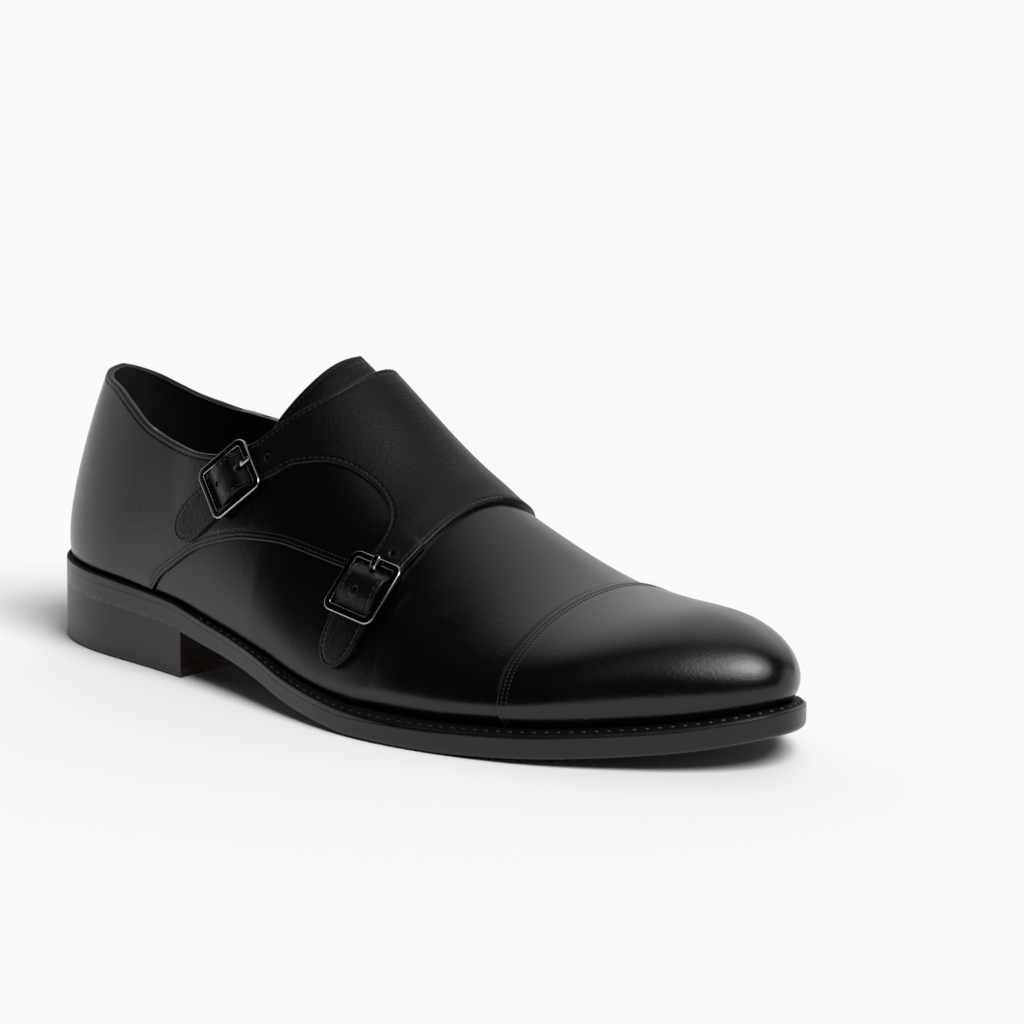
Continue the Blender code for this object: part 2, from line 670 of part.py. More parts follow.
def make_flap(straps, black_leather):
    upper, lower = straps["upper"].outline(), straps["lower"].outline()
    outline = [*zip(FLAP_TOP["along"], FLAP_TOP["around"]), *upper[::-1],
               *zip(FLAP_NOTCH["along"], FLAP_NOTCH["around"]), *lower[::-1],
               *zip(FLAP_FRONT["along"], FLAP_FRONT["around"]),
               *zip(FLAP_UNDER["along"], FLAP_UNDER["around"])]

    def lift(along, around):
        total = 0.0
        for strap in straps.values():
            s, w = strap.along_strap(along, around)
            far = (s - STRAP_CREST) / np.where(s < STRAP_CREST, STRAP_RISE, STRAP_FALL)
            total = total + STRAP_LIFT * np.exp(-far ** 2 - (w / 16.0) ** 8)
        return total

    add_node("monk_flap", *leather_slab(
        outline, 4.8, lambda along, around: GAP + lift(along, around),
        lambda along, around: FLAP_OUTER + lift(along, around),
        [strap.bow_points() for strap in straps.values()]), black_leather)


def rounded_rectangle(length, width, corner, steps=5):
    """Points of a rectangle with round corners, in (s, w)."""
    points = []
    for sx, sy, start in ((1, 1, 0.0), (-1, 1, 0.5), (-1, -1, 1.0), (1, -1, 1.5)):
        for step in range(steps + 1):
            angle = math.pi * (start + 0.5 * step / steps)
            points.append((sx * (length / 2 - corner) + corner * math.cos(angle),
                           sy * (width / 2 - corner) + corner * math.sin(angle)))
    return np.array(points)


def make_buckle(name, strap, dark_steel):
    opening = strap.width + BUCKLE_ROOM
    window = (BUCKLE_LENGTH - CENTRE_BAR) / 2 - BUCKLE_BAR
    outer = rounded_rectangle(BUCKLE_LENGTH, opening + 2 * BUCKLE_BAR, BUCKLE_CORNER)
    shift = np.array([(window + CENTRE_BAR) / 2, 0])
    hole = rounded_rectangle(window, opening, 0.9, 3)
    flat, faces = triangulated([outer, hole + shift, hole - shift], 2.6)

    def lowered(s):
        return BUCKLE_HEIGHT - BUCKLE_DIP * np.exp(-(s / 4.2) ** 4)

    def face(rise):
        return lambda places: np.array([strap.point(s, w, lowered(s) + rise) for s, w in places])

    add_node(f"buckle_{name}", *slab(flat, faces, face(0.0), face(BUCKLE_THICKNESS)), dark_steel)

    half = PRONG_WIDTH / 2
    base = BUCKLE_HEIGHT + BUCKLE_THICKNESS + GAP
    path = ((-PRONG_ROOT, 0.2), (-PRONG_ROOT - 2.5, 0.4), (1.0 - PRONG_END, 0.2), (-PRONG_END, 0.0))
    rings = []
    for s, rise in path:
        low, high = base + rise, base + rise + PRONG_THICKNESS
        corners = ((-half, low), (half, low), (half, high), (-half, high))
        rings.append([strap.point(s, w, height) for w, height in corners])
    add_node(f"prong_{name}", *lofted(rings, True), dark_steel)


# ---------------------------------------------------------------------------------------------


def main():
    for old in list(bpy.data.objects):
        bpy.data.objects.remove(old)

    black_leather = material("black_calf_leather", (0.012, 0.012, 0.013), 0.35)
    black_edge = material("black_edge_ink", (0.014, 0.014, 0.014), 0.4)
    tan_leather = material("tan_sole_leather", (0.30, 0.16, 0.08), 0.6)
    rubber = material("black_rubber", (0.02, 0.02, 0.02), 0.7)
    dark_steel = material("dark_polished_steel", (0.18, 0.18, 0.19), 0.25, 1.0)

    make_sole(black_edge, tan_leather, rubber)
    make_upper(black_leather)
    make_toe_cap(black_leather)
    make_tongue(black_leather)
    straps = {name: Strap(**layout) for name, layout in STRAPS.items()}
    make_flap(straps, black_leather)
    for name, strap in straps.items():
        make_buckle(name, strap, dark_steel)


main()
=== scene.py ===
"""Looks of the right-foot monk strap shoe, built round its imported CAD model.

Every leather piece lies on one surface, the last, which last_surface() works out from the tables.
A place on the last is (along, around):
    along   0 at the heel's back seam to 300 at the toe tip, in even steps round the sole's edge;
    around  -1 on the lateral sole line, 0 on the ridge of the instep, +1 on the medial sole line.
Shapes are in millimetres from the heel's back, +X to the toe, +Y to the medial side, +Z up;
add_piece() moves them into the part's frame, in metres.
"""
import json
import math

import bmesh
import bpy
import numpy as np
from mathutils import Matrix, Vector
from mathutils.geometry import delaunay_2d_cdt

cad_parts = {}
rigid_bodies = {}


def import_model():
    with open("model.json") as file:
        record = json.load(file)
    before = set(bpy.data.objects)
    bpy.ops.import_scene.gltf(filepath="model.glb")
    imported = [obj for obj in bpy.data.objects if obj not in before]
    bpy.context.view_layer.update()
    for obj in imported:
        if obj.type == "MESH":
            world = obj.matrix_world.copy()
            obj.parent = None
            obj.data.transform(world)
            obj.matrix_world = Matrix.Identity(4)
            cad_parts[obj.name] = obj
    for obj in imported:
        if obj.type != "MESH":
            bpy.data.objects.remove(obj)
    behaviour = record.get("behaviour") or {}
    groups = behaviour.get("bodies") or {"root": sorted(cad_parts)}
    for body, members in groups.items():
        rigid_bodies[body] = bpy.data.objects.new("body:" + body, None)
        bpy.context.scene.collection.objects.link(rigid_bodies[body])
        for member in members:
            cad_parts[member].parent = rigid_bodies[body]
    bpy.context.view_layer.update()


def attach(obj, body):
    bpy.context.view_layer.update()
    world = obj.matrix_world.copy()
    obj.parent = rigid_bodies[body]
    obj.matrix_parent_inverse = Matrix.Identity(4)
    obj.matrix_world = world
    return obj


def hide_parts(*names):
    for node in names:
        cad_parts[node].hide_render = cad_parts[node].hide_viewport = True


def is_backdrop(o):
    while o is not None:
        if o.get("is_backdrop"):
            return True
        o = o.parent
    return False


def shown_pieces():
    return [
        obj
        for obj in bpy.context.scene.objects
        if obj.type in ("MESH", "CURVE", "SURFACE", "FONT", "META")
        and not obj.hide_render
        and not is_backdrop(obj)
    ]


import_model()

MM = 0.001
ALONG_END = 300.0
ORIGIN = np.array([150.5, -4.43, 0.0])        # the part's origin, from the heel's back


def table(columns, *rows):
    """Rows of numbers under named columns, as one array for each column."""
    return dict(zip(columns.split(), np.array(rows, float).T))


# ---------------------------------------------------------------------------------------------
# The sole's edge and the last, as in the CAD model

SOLE_EDGE = table(
    "x lateral medial",
    (30, -33.5, 28.5), (60, -38.2, 25.0), (90, -42.7, 20.5), (120, -49.0, 25.0), (150, -56.3, 36.0),
    (180, -60.5, 46.5), (210, -57.6, 51.5), (240, -48.5, 49.5), (265, -35.0, 41.0), (286, -20.3, 28.5))
HEEL_BACK = (0.0, -1.0)
HEEL_ROUND = ((7.5, -20.5), (7.0, 18.0))
TOE_ROUND = ((298.0, -7.2), (298.2, 13.5))
TOE_TIP = (301.0, 3.0)
SOLE_UNDERSIDE = table(
    "x height",
    (-5, 18.3), (40, 17.8), (76, 16.5), (100, 12.8), (125, 8.4), (142, 4.2), (150, 2.8), (163, 1.1),
    (177, 0.0), (206, 0.0), (218, 0.4), (238, 1.5), (260, 3.6), (280, 6.3), (305, 12.0))
SOLE_REACH = table(
    "x lateral medial",
    (0, 2.0, 2.0), (80, 2.2, 2.0), (120, 2.9, 2.2), (160, 5.6, 3.5), (180, 6.7, 4.3),
    (200, 6.7, 5.0), (215, 6.4, 5.2), (250, 6.0, 5.5), (301, 5.8, 5.8))
OUTSOLE_THICKNESS = table("x thickness", (-5, 6.2), (170, 6.2), (215, 7.1), (305, 7.1))
SEAT = table(
    "x height",
    (0, 3.8), (50, 3.0), (90, 2.2), (110, 2.4), (142, 3.0), (160, 2.8), (180, 2.6), (206, 2.1), (305, 2.0))
LAST = table(
    "x ridge_height ridge_y lateral_power medial_power swell swell_height",
    (36, 113.8, -3.9, 1.21, 1.21, 0.062, 0.24),
    (60, 122.0, -1.0, 1.29, 1.50, 0.054, 0.25),
    (90, 121.0, 2.0, 1.32, 1.65, 0.046, 0.27),
    (110, 114.0, 4.5, 1.26, 1.66, 0.042, 0.28),
    (135, 97.0, 6.6, 1.14, 1.66, 0.038, 0.30),
    (160, 76.5, 8.0, 1.13, 1.75, 0.040, 0.32),
    (190, 58.5, 9.0, 1.43, 2.02, 0.057, 0.35),
    (220, 46.0, 9.0, 1.73, 2.36, 0.080, 0.36),
    (245, 42.5, 7.5, 2.30, 2.75, 0.105, 0.37),
    (262, 43.0, 6.0, 3.10, 3.10, 0.115, 0.37))
HEEL_CENTRE_X = 36.0                          # the ridge keeps between these two
TOE_CENTRE_X = 262.0
FAN_BLEND = 20.0
HEEL_BREAST_X = 84.8
TOP_LIFT = 3.0                                # thickness
GAP = 0.3                                     # between the band on the outsole and the upper


def cubic(knots, values, x):
    """Natural cubic spline through values at knots, read at x. values may have columns."""
    knots, values = np.asarray(knots, float), np.asarray(values, float)
    step = np.diff(knots)
    count = len(knots)
    system = np.eye(count)
    right = np.zeros(values.shape)
    for i in range(1, count - 1):
        system[i, i - 1:i + 2] = step[i - 1], 2 * (step[i - 1] + step[i]), step[i]
        right[i] = 6 * ((values[i + 1] - values[i]) / step[i] - (values[i] - values[i - 1]) / step[i - 1])
    bend = np.linalg.solve(system, right)
    k = np.clip(np.searchsorted(knots, x) - 1, 0, count - 2)
    t = np.asarray(x, float) - knots[k]
    h = step[k]
    if values.ndim > 1:
        t, h = t[..., None], h[..., None]
    slope = (values[k + 1] - values[k]) / h - h * (2 * bend[k] + bend[k + 1]) / 6
    return values[k] + slope * t + bend[k] / 2 * t ** 2 + (bend[k + 1] - bend[k]) / (6 * h) * t ** 3


def monotone(knots, values, x):
    """Cubic through values at knots that never overshoots them (Fritsch-Carlson slopes)."""
    secant = np.diff(values) / np.diff(knots)
    slope = np.zeros(len(knots))
    same_sign = secant[1:] * secant[:-1] > 0
    slope[1:-1][same_sign] = 2 * secant[1:][same_sign] * secant[:-1][same_sign] / (
        secant[1:][same_sign] + secant[:-1][same_sign])
    slope[0], slope[-1] = secant[0], secant[-1]
    x = np.clip(x, knots[0], knots[-1])
    k = np.clip(np.searchsorted(knots, x) - 1, 0, len(knots) - 2)
    h = knots[k + 1] - knots[k]
    t = (x - knots[k]) / h
    return (values[k] * (1 + 2 * t) * (1 - t) ** 2 + slope[k] * h * t * (1 - t) ** 2
            + values[k + 1] * t ** 2 * (3 - 2 * t) - slope[k + 1] * h * t ** 2 * (1 - t))


def smooth_max(a, b, blend):
    """The larger of a and b, rounded off where they are within blend of each other."""
    overlap = np.clip((a - b + blend) / (2 * blend), 0, 1)
    return np.where(overlap >= 1, a, b + blend * overlap ** 2)


def smoothstep(low, high, x):
    """0 at low, 1 at high, and an S curve between; low may be the larger."""
    t = np.clip((x - low) / (high - low), 0, 1)
    return t * t * (3 - 2 * t)


def lengths_along(points):
    """Distance travelled at each point of a line."""
    return np.concatenate([[0.0], np.cumsum(np.linalg.norm(np.diff(points, axis=0), axis=1))])


def columns_at(wanted, knots, values):
    """Each column of values, given at knots, read at the wanted spots."""
    return np.stack([np.interp(wanted, knots, column) for column in values.T], -1)


def edge_halves(samples=2401):
    """Lateral and medial half of the sole's edge, heel to toe, in even steps of arc length."""
    lateral = [HEEL_BACK, HEEL_ROUND[0], *zip(SOLE_EDGE["x"], SOLE_EDGE["lateral"]), TOE_ROUND[0], TOE_TIP]
    medial = [HEEL_BACK, HEEL_ROUND[1], *zip(SOLE_EDGE["x"], SOLE_EDGE["medial"]), TOE_ROUND[1], TOE_TIP]
    loop = np.array(lateral + medial[-2:0:-1], float)
    wrap = 3
    closed = np.vstack([loop[-wrap:], loop, loop[:wrap + 1]])
    chord = np.sqrt(np.hypot(*np.diff(closed, axis=0).T))
    knots = np.concatenate([[0.0], np.cumsum(chord)])

    def half(start, end):
        dense = cubic(knots, closed, np.linspace(knots[start], knots[end], 6000))
        travelled = lengths_along(dense)
        return columns_at(np.linspace(0, travelled[-1], samples), travelled, dense)

    toe = wrap + len(lateral) - 1
    return half(wrap, toe), half(wrap + len(loop), toe)


EDGE = dict(zip((-1, 1), edge_halves()))      # -1 lateral, +1 medial
REACH = {-1: "lateral", 1: "medial"}
FRACTION = np.linspace(0, 1, len(EDGE[-1]))


def inset_edge(side, inset):
    """One half of the sole's edge, moved inward by inset, a number or a value at each sample."""
    edge = EDGE[side]
    run = np.gradient(edge, axis=0)
    inward = np.stack([side * run[:, 1], -side * run[:, 0]], -1)
    inward /= np.linalg.norm(inward, axis=1, keepdims=True)
    inward[0], inward[-1] = (1, 0), (-1, 0)
    return edge + inward * np.broadcast_to(inset, len(edge))[:, None]


def reach(side):
    """How far the sole's edge stands out past the upper, at each sample."""
    return np.interp(EDGE[side][:, 0], SOLE_REACH["x"], SOLE_REACH[REACH[side]])


def underside(x):
    return monotone(SOLE_UNDERSIDE["x"], SOLE_UNDERSIDE["height"], x)


def outsole_thickness(x):
    return np.interp(x, OUTSOLE_THICKNESS["x"], OUTSOLE_THICKNESS["thickness"])


def outsole_top(x):
    return underside(x) + outsole_thickness(x)


def seat(x):
    return np.interp(x, SEAT["x"], SEAT["height"])


FEATHER = {side: inset_edge(side, reach(side)) for side in (-1, 1)}
MIDDLE_X = (FEATHER[-1][:, 0] + FEATHER[1][:, 0]) / 2
RIDGE_X = -smooth_max(-smooth_max(MIDDLE_X, HEEL_CENTRE_X, FAN_BLEND), -TOE_CENTRE_X, FAN_BLEND)
LAST_COLUMNS = np.stack([LAST[name] for name in (
    "ridge_height", "ridge_y", "lateral_power", "medial_power", "swell", "swell_height")], -1)


def last_surface(along, around):
    """Points of the last, which is the solid form that the leather is pulled over.

    A section runs from the sole line B up to the ridge R. At turn a = (1 - |around|) 90 deg:
        h = sin(a)^(2/power)                       height between B and R
        w = cos(a) (1 + swell k e^(1-k))           reach from R toward B, with k = h / swell_height
        x = Rx + (Bx - Rx) w,  y = Ry + (By - Ry) w,  z = Bz + (Rz - Bz) h
    """
    along, around = np.broadcast_arrays(np.asarray(along, float), np.asarray(around, float))
    t = np.clip(along / ALONG_END, 0, 1)
    ridge_x = np.interp(t, FRACTION, RIDGE_X)
    height, ridge_y, lateral_power, medial_power, swell, swell_height = np.moveaxis(
        cubic(LAST["x"], LAST_COLUMNS, ridge_x), -1, 0)
    is_lateral = around < 0
    foot_x, foot_y = (np.where(is_lateral, np.interp(t, FRACTION, FEATHER[-1][:, axis]),
                               np.interp(t, FRACTION, FEATHER[1][:, axis])) for axis in (0, 1))
    power = np.where(is_lateral, lateral_power, medial_power)
    turn = (1 - np.abs(around)) * math.pi / 2
    h = np.clip(np.sin(turn), 0, 1) ** (2 / power)
    k = h / swell_height
    w = np.cos(turn) * (1 + swell * k * np.exp(1 - k))
    foot_z = outsole_top(foot_x) + seat(foot_x) + GAP
    return np.stack([ridge_x + (foot_x - ridge_x) * w, ridge_y + (foot_y - ridge_y) * w,
                     foot_z + (height - foot_z) * h], -1)


def last_slopes(along, around):
    """The last's two tangents at a place, for one unit of along and one of around.

    Where the halves meet at the heel's seam and the toe's tip the first runs straight across.
    """
    along, around = np.broadcast_arrays(np.asarray(along, float), np.asarray(around, float))
    back, ahead = (np.clip(along + step, 0, ALONG_END) for step in (-0.3, 0.3))
    off_ridge = np.where(np.abs(around) < 0.012, np.where(around < 0, -0.012, 0.012), np.clip(around, -1, 1))
    low, high = (np.clip(off_ridge + step, -1, 1) for step in (-0.002, 0.002))
    d_along = (last_surface(ahead, off_ridge) - last_surface(back, off_ridge)) / (ahead - back)[..., None]
    d_around = (last_surface(along, high) - last_surface(along, low)) / (high - low)[..., None]
    end = (along <= 0) * 1.0 - (along >= ALONG_END)
    across = np.stack([0 * end, end * np.sign(off_ridge), 0 * end], -1)
    return np.where(end[..., None] == 0, d_along, across), d_around


def unit(vectors):
    """The vectors at length 1."""
    return vectors / np.maximum(np.linalg.norm(vectors, axis=-1, keepdims=True), 1e-12)


def last_normal(along, around):
    """The last's outward direction at a place."""
    return unit(np.cross(*last_slopes(along, around)))


def skin(along, around, height):
    """Points at a height over the last, which is a number or an array."""
    return last_surface(along, around) + np.asarray(height)[..., None] * last_normal(along, around)


# ---------------------------------------------------------------------------------------------
# Lines on the last, as (along, around)

TOPLINE_LATERAL = table(                      # the collar from the heel seam to under the flap
    "along around",
    (0, -0.367), (16, -0.374), (34, -0.390), (42, -0.408), (51, -0.450), (58, -0.490), (64, -0.522),
    (70, -0.543), (75, -0.555), (80, -0.563), (84, -0.565), (89, -0.562), (93, -0.554), (96, -0.546),
    (100, -0.532), (104, -0.520), (110, -0.492))
TOPLINE_MEDIAL = table(                       # the collar on the other side, to the flap's corner
    "along around",
    (0, 0.367), (8, 0.378), (16, 0.393), (24, 0.411), (34, 0.441), (43, 0.475), (53, 0.513),
    (62, 0.550), (72, 0.578), (79, 0.590), (86, 0.600), (93, 0.599))
FLAP_TOP = table(                             # the flap's back edge, over the instep to the upper strap
    "along around",
    (93.0, 0.599), (102.6, 0.532), (110.4, 0.458), (118.2, 0.370), (124.8, 0.260), (128.6, 0.130),
    (129.3, 0.0), (128.5, -0.100), (126.6, -0.195), (123.6, -0.267), (120.0, -0.329), (115.8, -0.391),
    (113.1, -0.428), (110.1, -0.464), (108.0, -0.482))
FLAP_NOTCH = table(                           # the round notch between the straps
    "along around",
    (118.6, -0.502), (121.2, -0.474), (123.6, -0.446), (126.8, -0.419), (132.0, -0.377), (137.7, -0.340),
    (144.0, -0.315), (150.6, -0.306), (155.0, -0.319), (157.6, -0.347), (158.5, -0.385), (158.5, -0.420),
    (158.0, -0.449))
FLAP_FRONT = table(                           # from the lower strap over the instep, medially
    "along around",
    (169.7, -0.430), (170.1, -0.407), (170.7, -0.368), (171.4, -0.300), (172.4, -0.150), (173.3, -0.030),
    (174.2, 0.060), (174.8, 0.160), (173.6, 0.290), (170.4, 0.430), (167.1, 0.535))
MEDIAL_SEAM = table(                          # the medial quarter's lower edge, flap corner to sole
    "along around",
    (167.1, 0.535), (161.4, 0.560), (156.6, 0.578), (146.7, 0.612), (130.0, 0.660), (112.0, 0.725),
    (97.0, 0.790), (84.0, 0.868), (77.0, 0.935), (74.0, 1.0))
LATERAL_SEAM = table(                         # the lateral quarter's lower edge, sole to under the flap
    "along around",
    (74.0, -1.0), (76.0, -0.940), (78.2, -0.902), (82.5, -0.862), (87.3, -0.822), (93.5, -0.775),
    (99.9, -0.738), (106.0, -0.706), (112.2, -0.675), (120.0, -0.640), (127.5, -0.605), (135.0, -0.575),
    (142.5, -0.548), (149.4, -0.526), (156.0, -0.505), (163.0, -0.470))
QUARTER_THROAT = table(                       # the lateral quarter's end, all under the flap
    "along around",
    (166.0, -0.430), (165.0, -0.330), (158.0, -0.200), (149.0, -0.130), (135.0, -0.245), (122.0, -0.385),
    (110.0, -0.492))
CAP_SEAM = table(                             # the toe cap's edge
    "around along",
    (-1.0, 219.6), (-0.78, 219.3), (-0.60, 217.7), (-0.40, 216.8), (-0.15, 217.0), (0.09, 217.4),
    (0.35, 217.9), (0.60, 217.6), (0.80, 218.6), (1.0, 219.2))
COLLAR = table(                               # the shell's opening on both sides
    "along lateral medial",
    (0, 0.367, 0.367), (16, 0.374, 0.393), (34, 0.390, 0.441), (42, 0.408, 0.471), (51, 0.450, 0.506),
    (64, 0.522, 0.556), (75, 0.555, 0.583), (84, 0.565, 0.592), (93, 0.554, 0.590), (100, 0.532, 0.560),
    (110, 0.492, 0.490), (122, 0.375, 0.375), (135, 0.235, 0.255), (148, 0.105, 0.120), (159, 0.0, 0.0))
TONGUE = table(                               # the tongue's edge, from its top to inside the vamp
    "along lateral medial",
    (119.5, -0.130, 0.130), (116.5, -0.260, 0.265), (112.5, -0.375, 0.385), (111.0, -0.455, 0.475),
    (114.0, -0.515, 0.545), (122.0, -0.480, 0.515), (135.0, -0.380, 0.415), (150.0, -0.270, 0.300),
    (165.0, -0.190, 0.210), (179.0, -0.110, 0.120))

STRAPS = {
    "upper": dict(along=105.0, around=-0.573, heading=244.0, width=13.8, neck=9.5, tip=30.3),
    "lower": dict(along=161.8, around=-0.537, heading=275.5, width=15.2, neck=8.0, tip=26.1),
}
STRAP_TIP_ROUND = 10.0                        # length of the strap's rounded end
STRAP_LIFT = 3.3                              # how much the strap rises over the buckle's centre bar
STRAP_CREST = -1.0                            # from the centre bar toward the tip
STRAP_RISE, STRAP_FALL = 5.2, 6.9             # reach of the rise, and of the fall beyond it
FLAP_FACE = 2.5                               # outer faces, over the last
QUARTER_FACE = 0.3
QUARTER_FACE_AT_SEAM = 1.0
CAP_FACE = 0.9
TONGUE_FACE = -2.15
LEATHER = 0.95                                # thickness of one layer
VAMP_BACK = -1.3
LINING = (-1.35, -2.0)                        # its two faces
EDGE_ROUND = 0.45                             # radius of a cut edge
SEAM_ROWS = (1.3, 2.7)                        # stitch rows, from a panel's edge: on the quarter seams
COLLAR_ROW = 1.8
FLAP_ROW = 1.5
TONGUE_ROW = 2.0
CAP_ROWS = (1.7, 3.3)
STITCH_PITCH = 1.35                           # on the quarters and the cap
FLAP_PITCH = 2.05                             # on the flap and the tongue
FLAP_STITCH = 0.95                            # length of one stitch there
WELT_PITCH = 3.85
PLACE_SCALE = np.array([1.15, 115.0])         # places to rough millimetres, for even triangles
CHORD_SCALE = np.array([1.15, 110.0])         # the same, for the curves through the tables
CAP_SCALE = 1.14                              # millimetres for one step of along, near the cap's seam


# ---------------------------------------------------------------------------------------------
# Runs of places on the last


def evenly(line, spacing):
    """A line of places resampled in even steps of about the spacing, measured on the last."""
    travelled = lengths_along(last_surface(*line.T))
    steps = max(1, round(travelled[-1] / spacing))
    return columns_at(np.linspace(0, travelled[-1], steps + 1), travelled, line)


def faired(run, spacing=1.0):
    """A table of (along, around) as a smooth line, from a cubic over its chord lengths."""
    knots_at = np.stack([run["along"], run["around"]], -1)
    chord = lengths_along(knots_at * CHORD_SCALE)
    return evenly(cubic(chord, knots_at, np.linspace(0, chord[-1], 1500)), spacing)


def straight(start, end, spacing=1.0):
    """The straight run of places from start to end."""
    return evenly(np.linspace(start, end, 400), spacing)


def moved(places, vectors):
    """Places shifted over the last by vectors in millimetres, by its slopes there."""
    slopes = np.stack(last_slopes(*places.T), 1)
    normal_matrix = slopes @ slopes.transpose(0, 2, 1)
    pull = np.einsum("nij,nj->ni", slopes, vectors)
    return places + np.linalg.solve(normal_matrix, pull[..., None])[..., 0]


AT_A_TIME = 600                               # points compared with a whole line at once


def inside(points, outline):
    """Even-odd test of 2-D points against a closed outline."""
    (x0, y0), (x1, y1) = outline.T, np.roll(outline, -1, axis=0).T
    rise = np.where(y1 == y0, 1, y1 - y0)
    crossings = np.zeros(len(points), int)
    for first in range(0, len(points), AT_A_TIME):
        some = slice(first, first + AT_A_TIME)
        x, y = points[some, :1], points[some, 1:]
        spans = (y0 > y) != (y1 > y)
        crossings[some] = (spans & (x < x0 + (y - y0) * (x1 - x0) / rise)).sum(1)
    return crossings % 2 == 1


def distance_to(points, line, closed=False):
    """Distance of 3-D points to a 3-D polyline: to the nearest spot of its nearest segment."""
    ends = np.roll(line, -1, axis=0) if closed else line[1:]
    starts = line if closed else line[:-1]
    step = ends - starts
    square = np.maximum((step ** 2).sum(1), 1e-12)
    nearest = np.empty(len(points))
    for first in range(0, len(points), AT_A_TIME):
        some = slice(first, first + AT_A_TIME)
        offset = points[some, None] - starts
        share = np.clip((offset * step).sum(-1) / square, 0, 1)
        nearest[some] = np.sqrt((((offset - share[..., None] * step) ** 2).sum(-1)).min(1))
    return nearest


def inward_of(outline):
    """Unit vectors on the last, square to a closed outline and pointing into it."""
    surface, normal = last_surface(*outline.T), last_normal(*outline.T)
    run = unit(np.roll(surface, -1, axis=0) - np.roll(surface, 1, axis=0))
    inward = unit(np.cross(normal, run))
    trial = moved(outline[::7], 0.5 * inward[::7])
    return inward if inside(trial, outline).mean() > 0.5 else -inward


def ring(outline, distance, inward=None):
    """The outline moved in by a distance, and which of its points kept that distance."""
    inward = inward_of(outline) if inward is None else inward
    places = moved(outline, distance * inward)
    apart = distance_to(last_surface(*places.T), last_surface(*outline.T), closed=True)
    return places, (apart > 0.97 * distance) & inside(places, outline)


def stitch_lines(outline, wanted, distance):
    """The parts of a stitch row at a distance inside the wanted part of an outline."""
    places, kept = ring(outline, distance)
    line = places[kept & wanted]
    jumps = np.linalg.norm(np.diff(last_surface(*line.T), axis=0), axis=1)
    return [part for part in np.split(line, np.flatnonzero(jumps > 3.5) + 1) if len(part) > 4]


# ---------------------------------------------------------------------------------------------
# Meshes


def add_piece(name, points, faces, surface, slot, replaced=(), weld=0.0, crease=40.0):
    """A piece from points in millimetres and arrays of faces, riding on the shoe.

    surface is one material, or (material, ...) with the faces as (array, index) pairs.
    """
    surfaces = surface if isinstance(surface, tuple) else (surface,)
    groups = [(group, 0) if isinstance(group, np.ndarray) else group for group in faces]
    mesh = bpy.data.meshes.new(name)
    mesh_faces = [face for group, _ in groups for face in group.tolist()]
    mesh.from_pydata(((points - ORIGIN) * MM).tolist(), [], mesh_faces)
    for item in surfaces:
        mesh.materials.append(item)
    index = np.concatenate([np.full(len(group), which, np.int32) for group, which in groups])
    mesh.polygons.foreach_set("material_index", index)
    shape = bmesh.new()
    shape.from_mesh(mesh)
    if weld:
        bmesh.ops.remove_doubles(shape, verts=shape.verts, dist=weld * MM)
        bmesh.ops.dissolve_degenerate(shape, edges=shape.edges, dist=0.002 * MM)
    bmesh.ops.recalc_face_normals(shape, faces=shape.faces)
    shape.to_mesh(mesh)
    shape.free()
    mesh.shade_smooth()
    mesh.set_sharp_from_angle(angle=math.radians(crease))
    piece = bpy.data.objects.new(name, mesh)
    bpy.context.collection.objects.link(piece)
    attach(piece, "root")
    if replaced:
        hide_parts(*replaced)
    return piece


def quads(index):
    """Quads between neighbours in a grid of point numbers."""
    return np.stack([index[:-1, :-1], index[1:, :-1], index[1:, 1:], index[:-1, 1:]], -1).reshape(-1, 4)


def grid_faces(rows, columns, closed_rows=False, closed_columns=False):
    """Quads of a grid of points, rows by columns; a closed way joins its last to its first."""
    index = np.arange(rows * columns).reshape(rows, columns)
    if closed_rows:
        index = np.concatenate([index, index[:1]])
    if closed_columns:
        index = np.concatenate([index, index[:, :1]], 1)
    return quads(index)


def closed_slab(outer, inner, faces):
    """Outer and inner points of one triangulation or grid, and walls along its open edges."""
    count, corners = len(outer), faces.shape[1]
    edges = np.concatenate([faces[:, [k, (k + 1) % corners]] for k in range(corners)])
    low, high = edges.min(1), edges.max(1)
    _, first, uses = np.unique(low * count + high, return_index=True, return_counts=True)
    a, b = edges[first[uses == 1]].T
    walls = np.stack([b, a, a + count, b + count], -1)
    return np.concatenate([outer, inner]), [faces, faces[:, ::-1] + count, walls]


def swept(sections, closed_path=False):
    """A tube or band: closed sections (path, section point, xyz), with ends closed if it is open."""
    path, size = sections.shape[:2]
    faces = [grid_faces(path, size, closed_rows=closed_path, closed_columns=True)]
    if not closed_path:
        faces += [np.arange(size)[None, ::-1], (np.arange(size) + (path - 1) * size)[None]]
    return sections.reshape(-1, 3), faces


def striped(faces, size, columns, inks, ends=(0, 0)):
    """Faces of a band of the given section size, as groups for add_piece.

    The columns listed, round the section, take material number inks[1] and the others inks[0].
    What follows the band in faces, such as its two ends, takes the materials in ends.
    """
    chosen = np.isin(np.arange(len(faces[0])) % size, columns)
    groups = [(faces[0][~chosen], inks[0]), (faces[0][chosen], inks[1])]
    return groups + [(end, ink) for end, ink in zip(faces[1:], ends)]


def hidden_ends(along, around, height):
    """A place's point, where |around| past 1 runs on down under the upper's edge, 1 mm for 0.01."""
    edge = np.clip(around, -1, 1)
    points = skin(along, edge, height)
    down = unit(skin(along, edge, height) - skin(along, edge * 0.985, height))
    return points + 100.0 * (np.abs(around) - np.abs(edge))[..., None] * down


def off_centre(hole, points):
    """Distance of points from the middle of a hole."""
    return np.linalg.norm(points - last_surface(*hole.T).mean(0), axis=1)


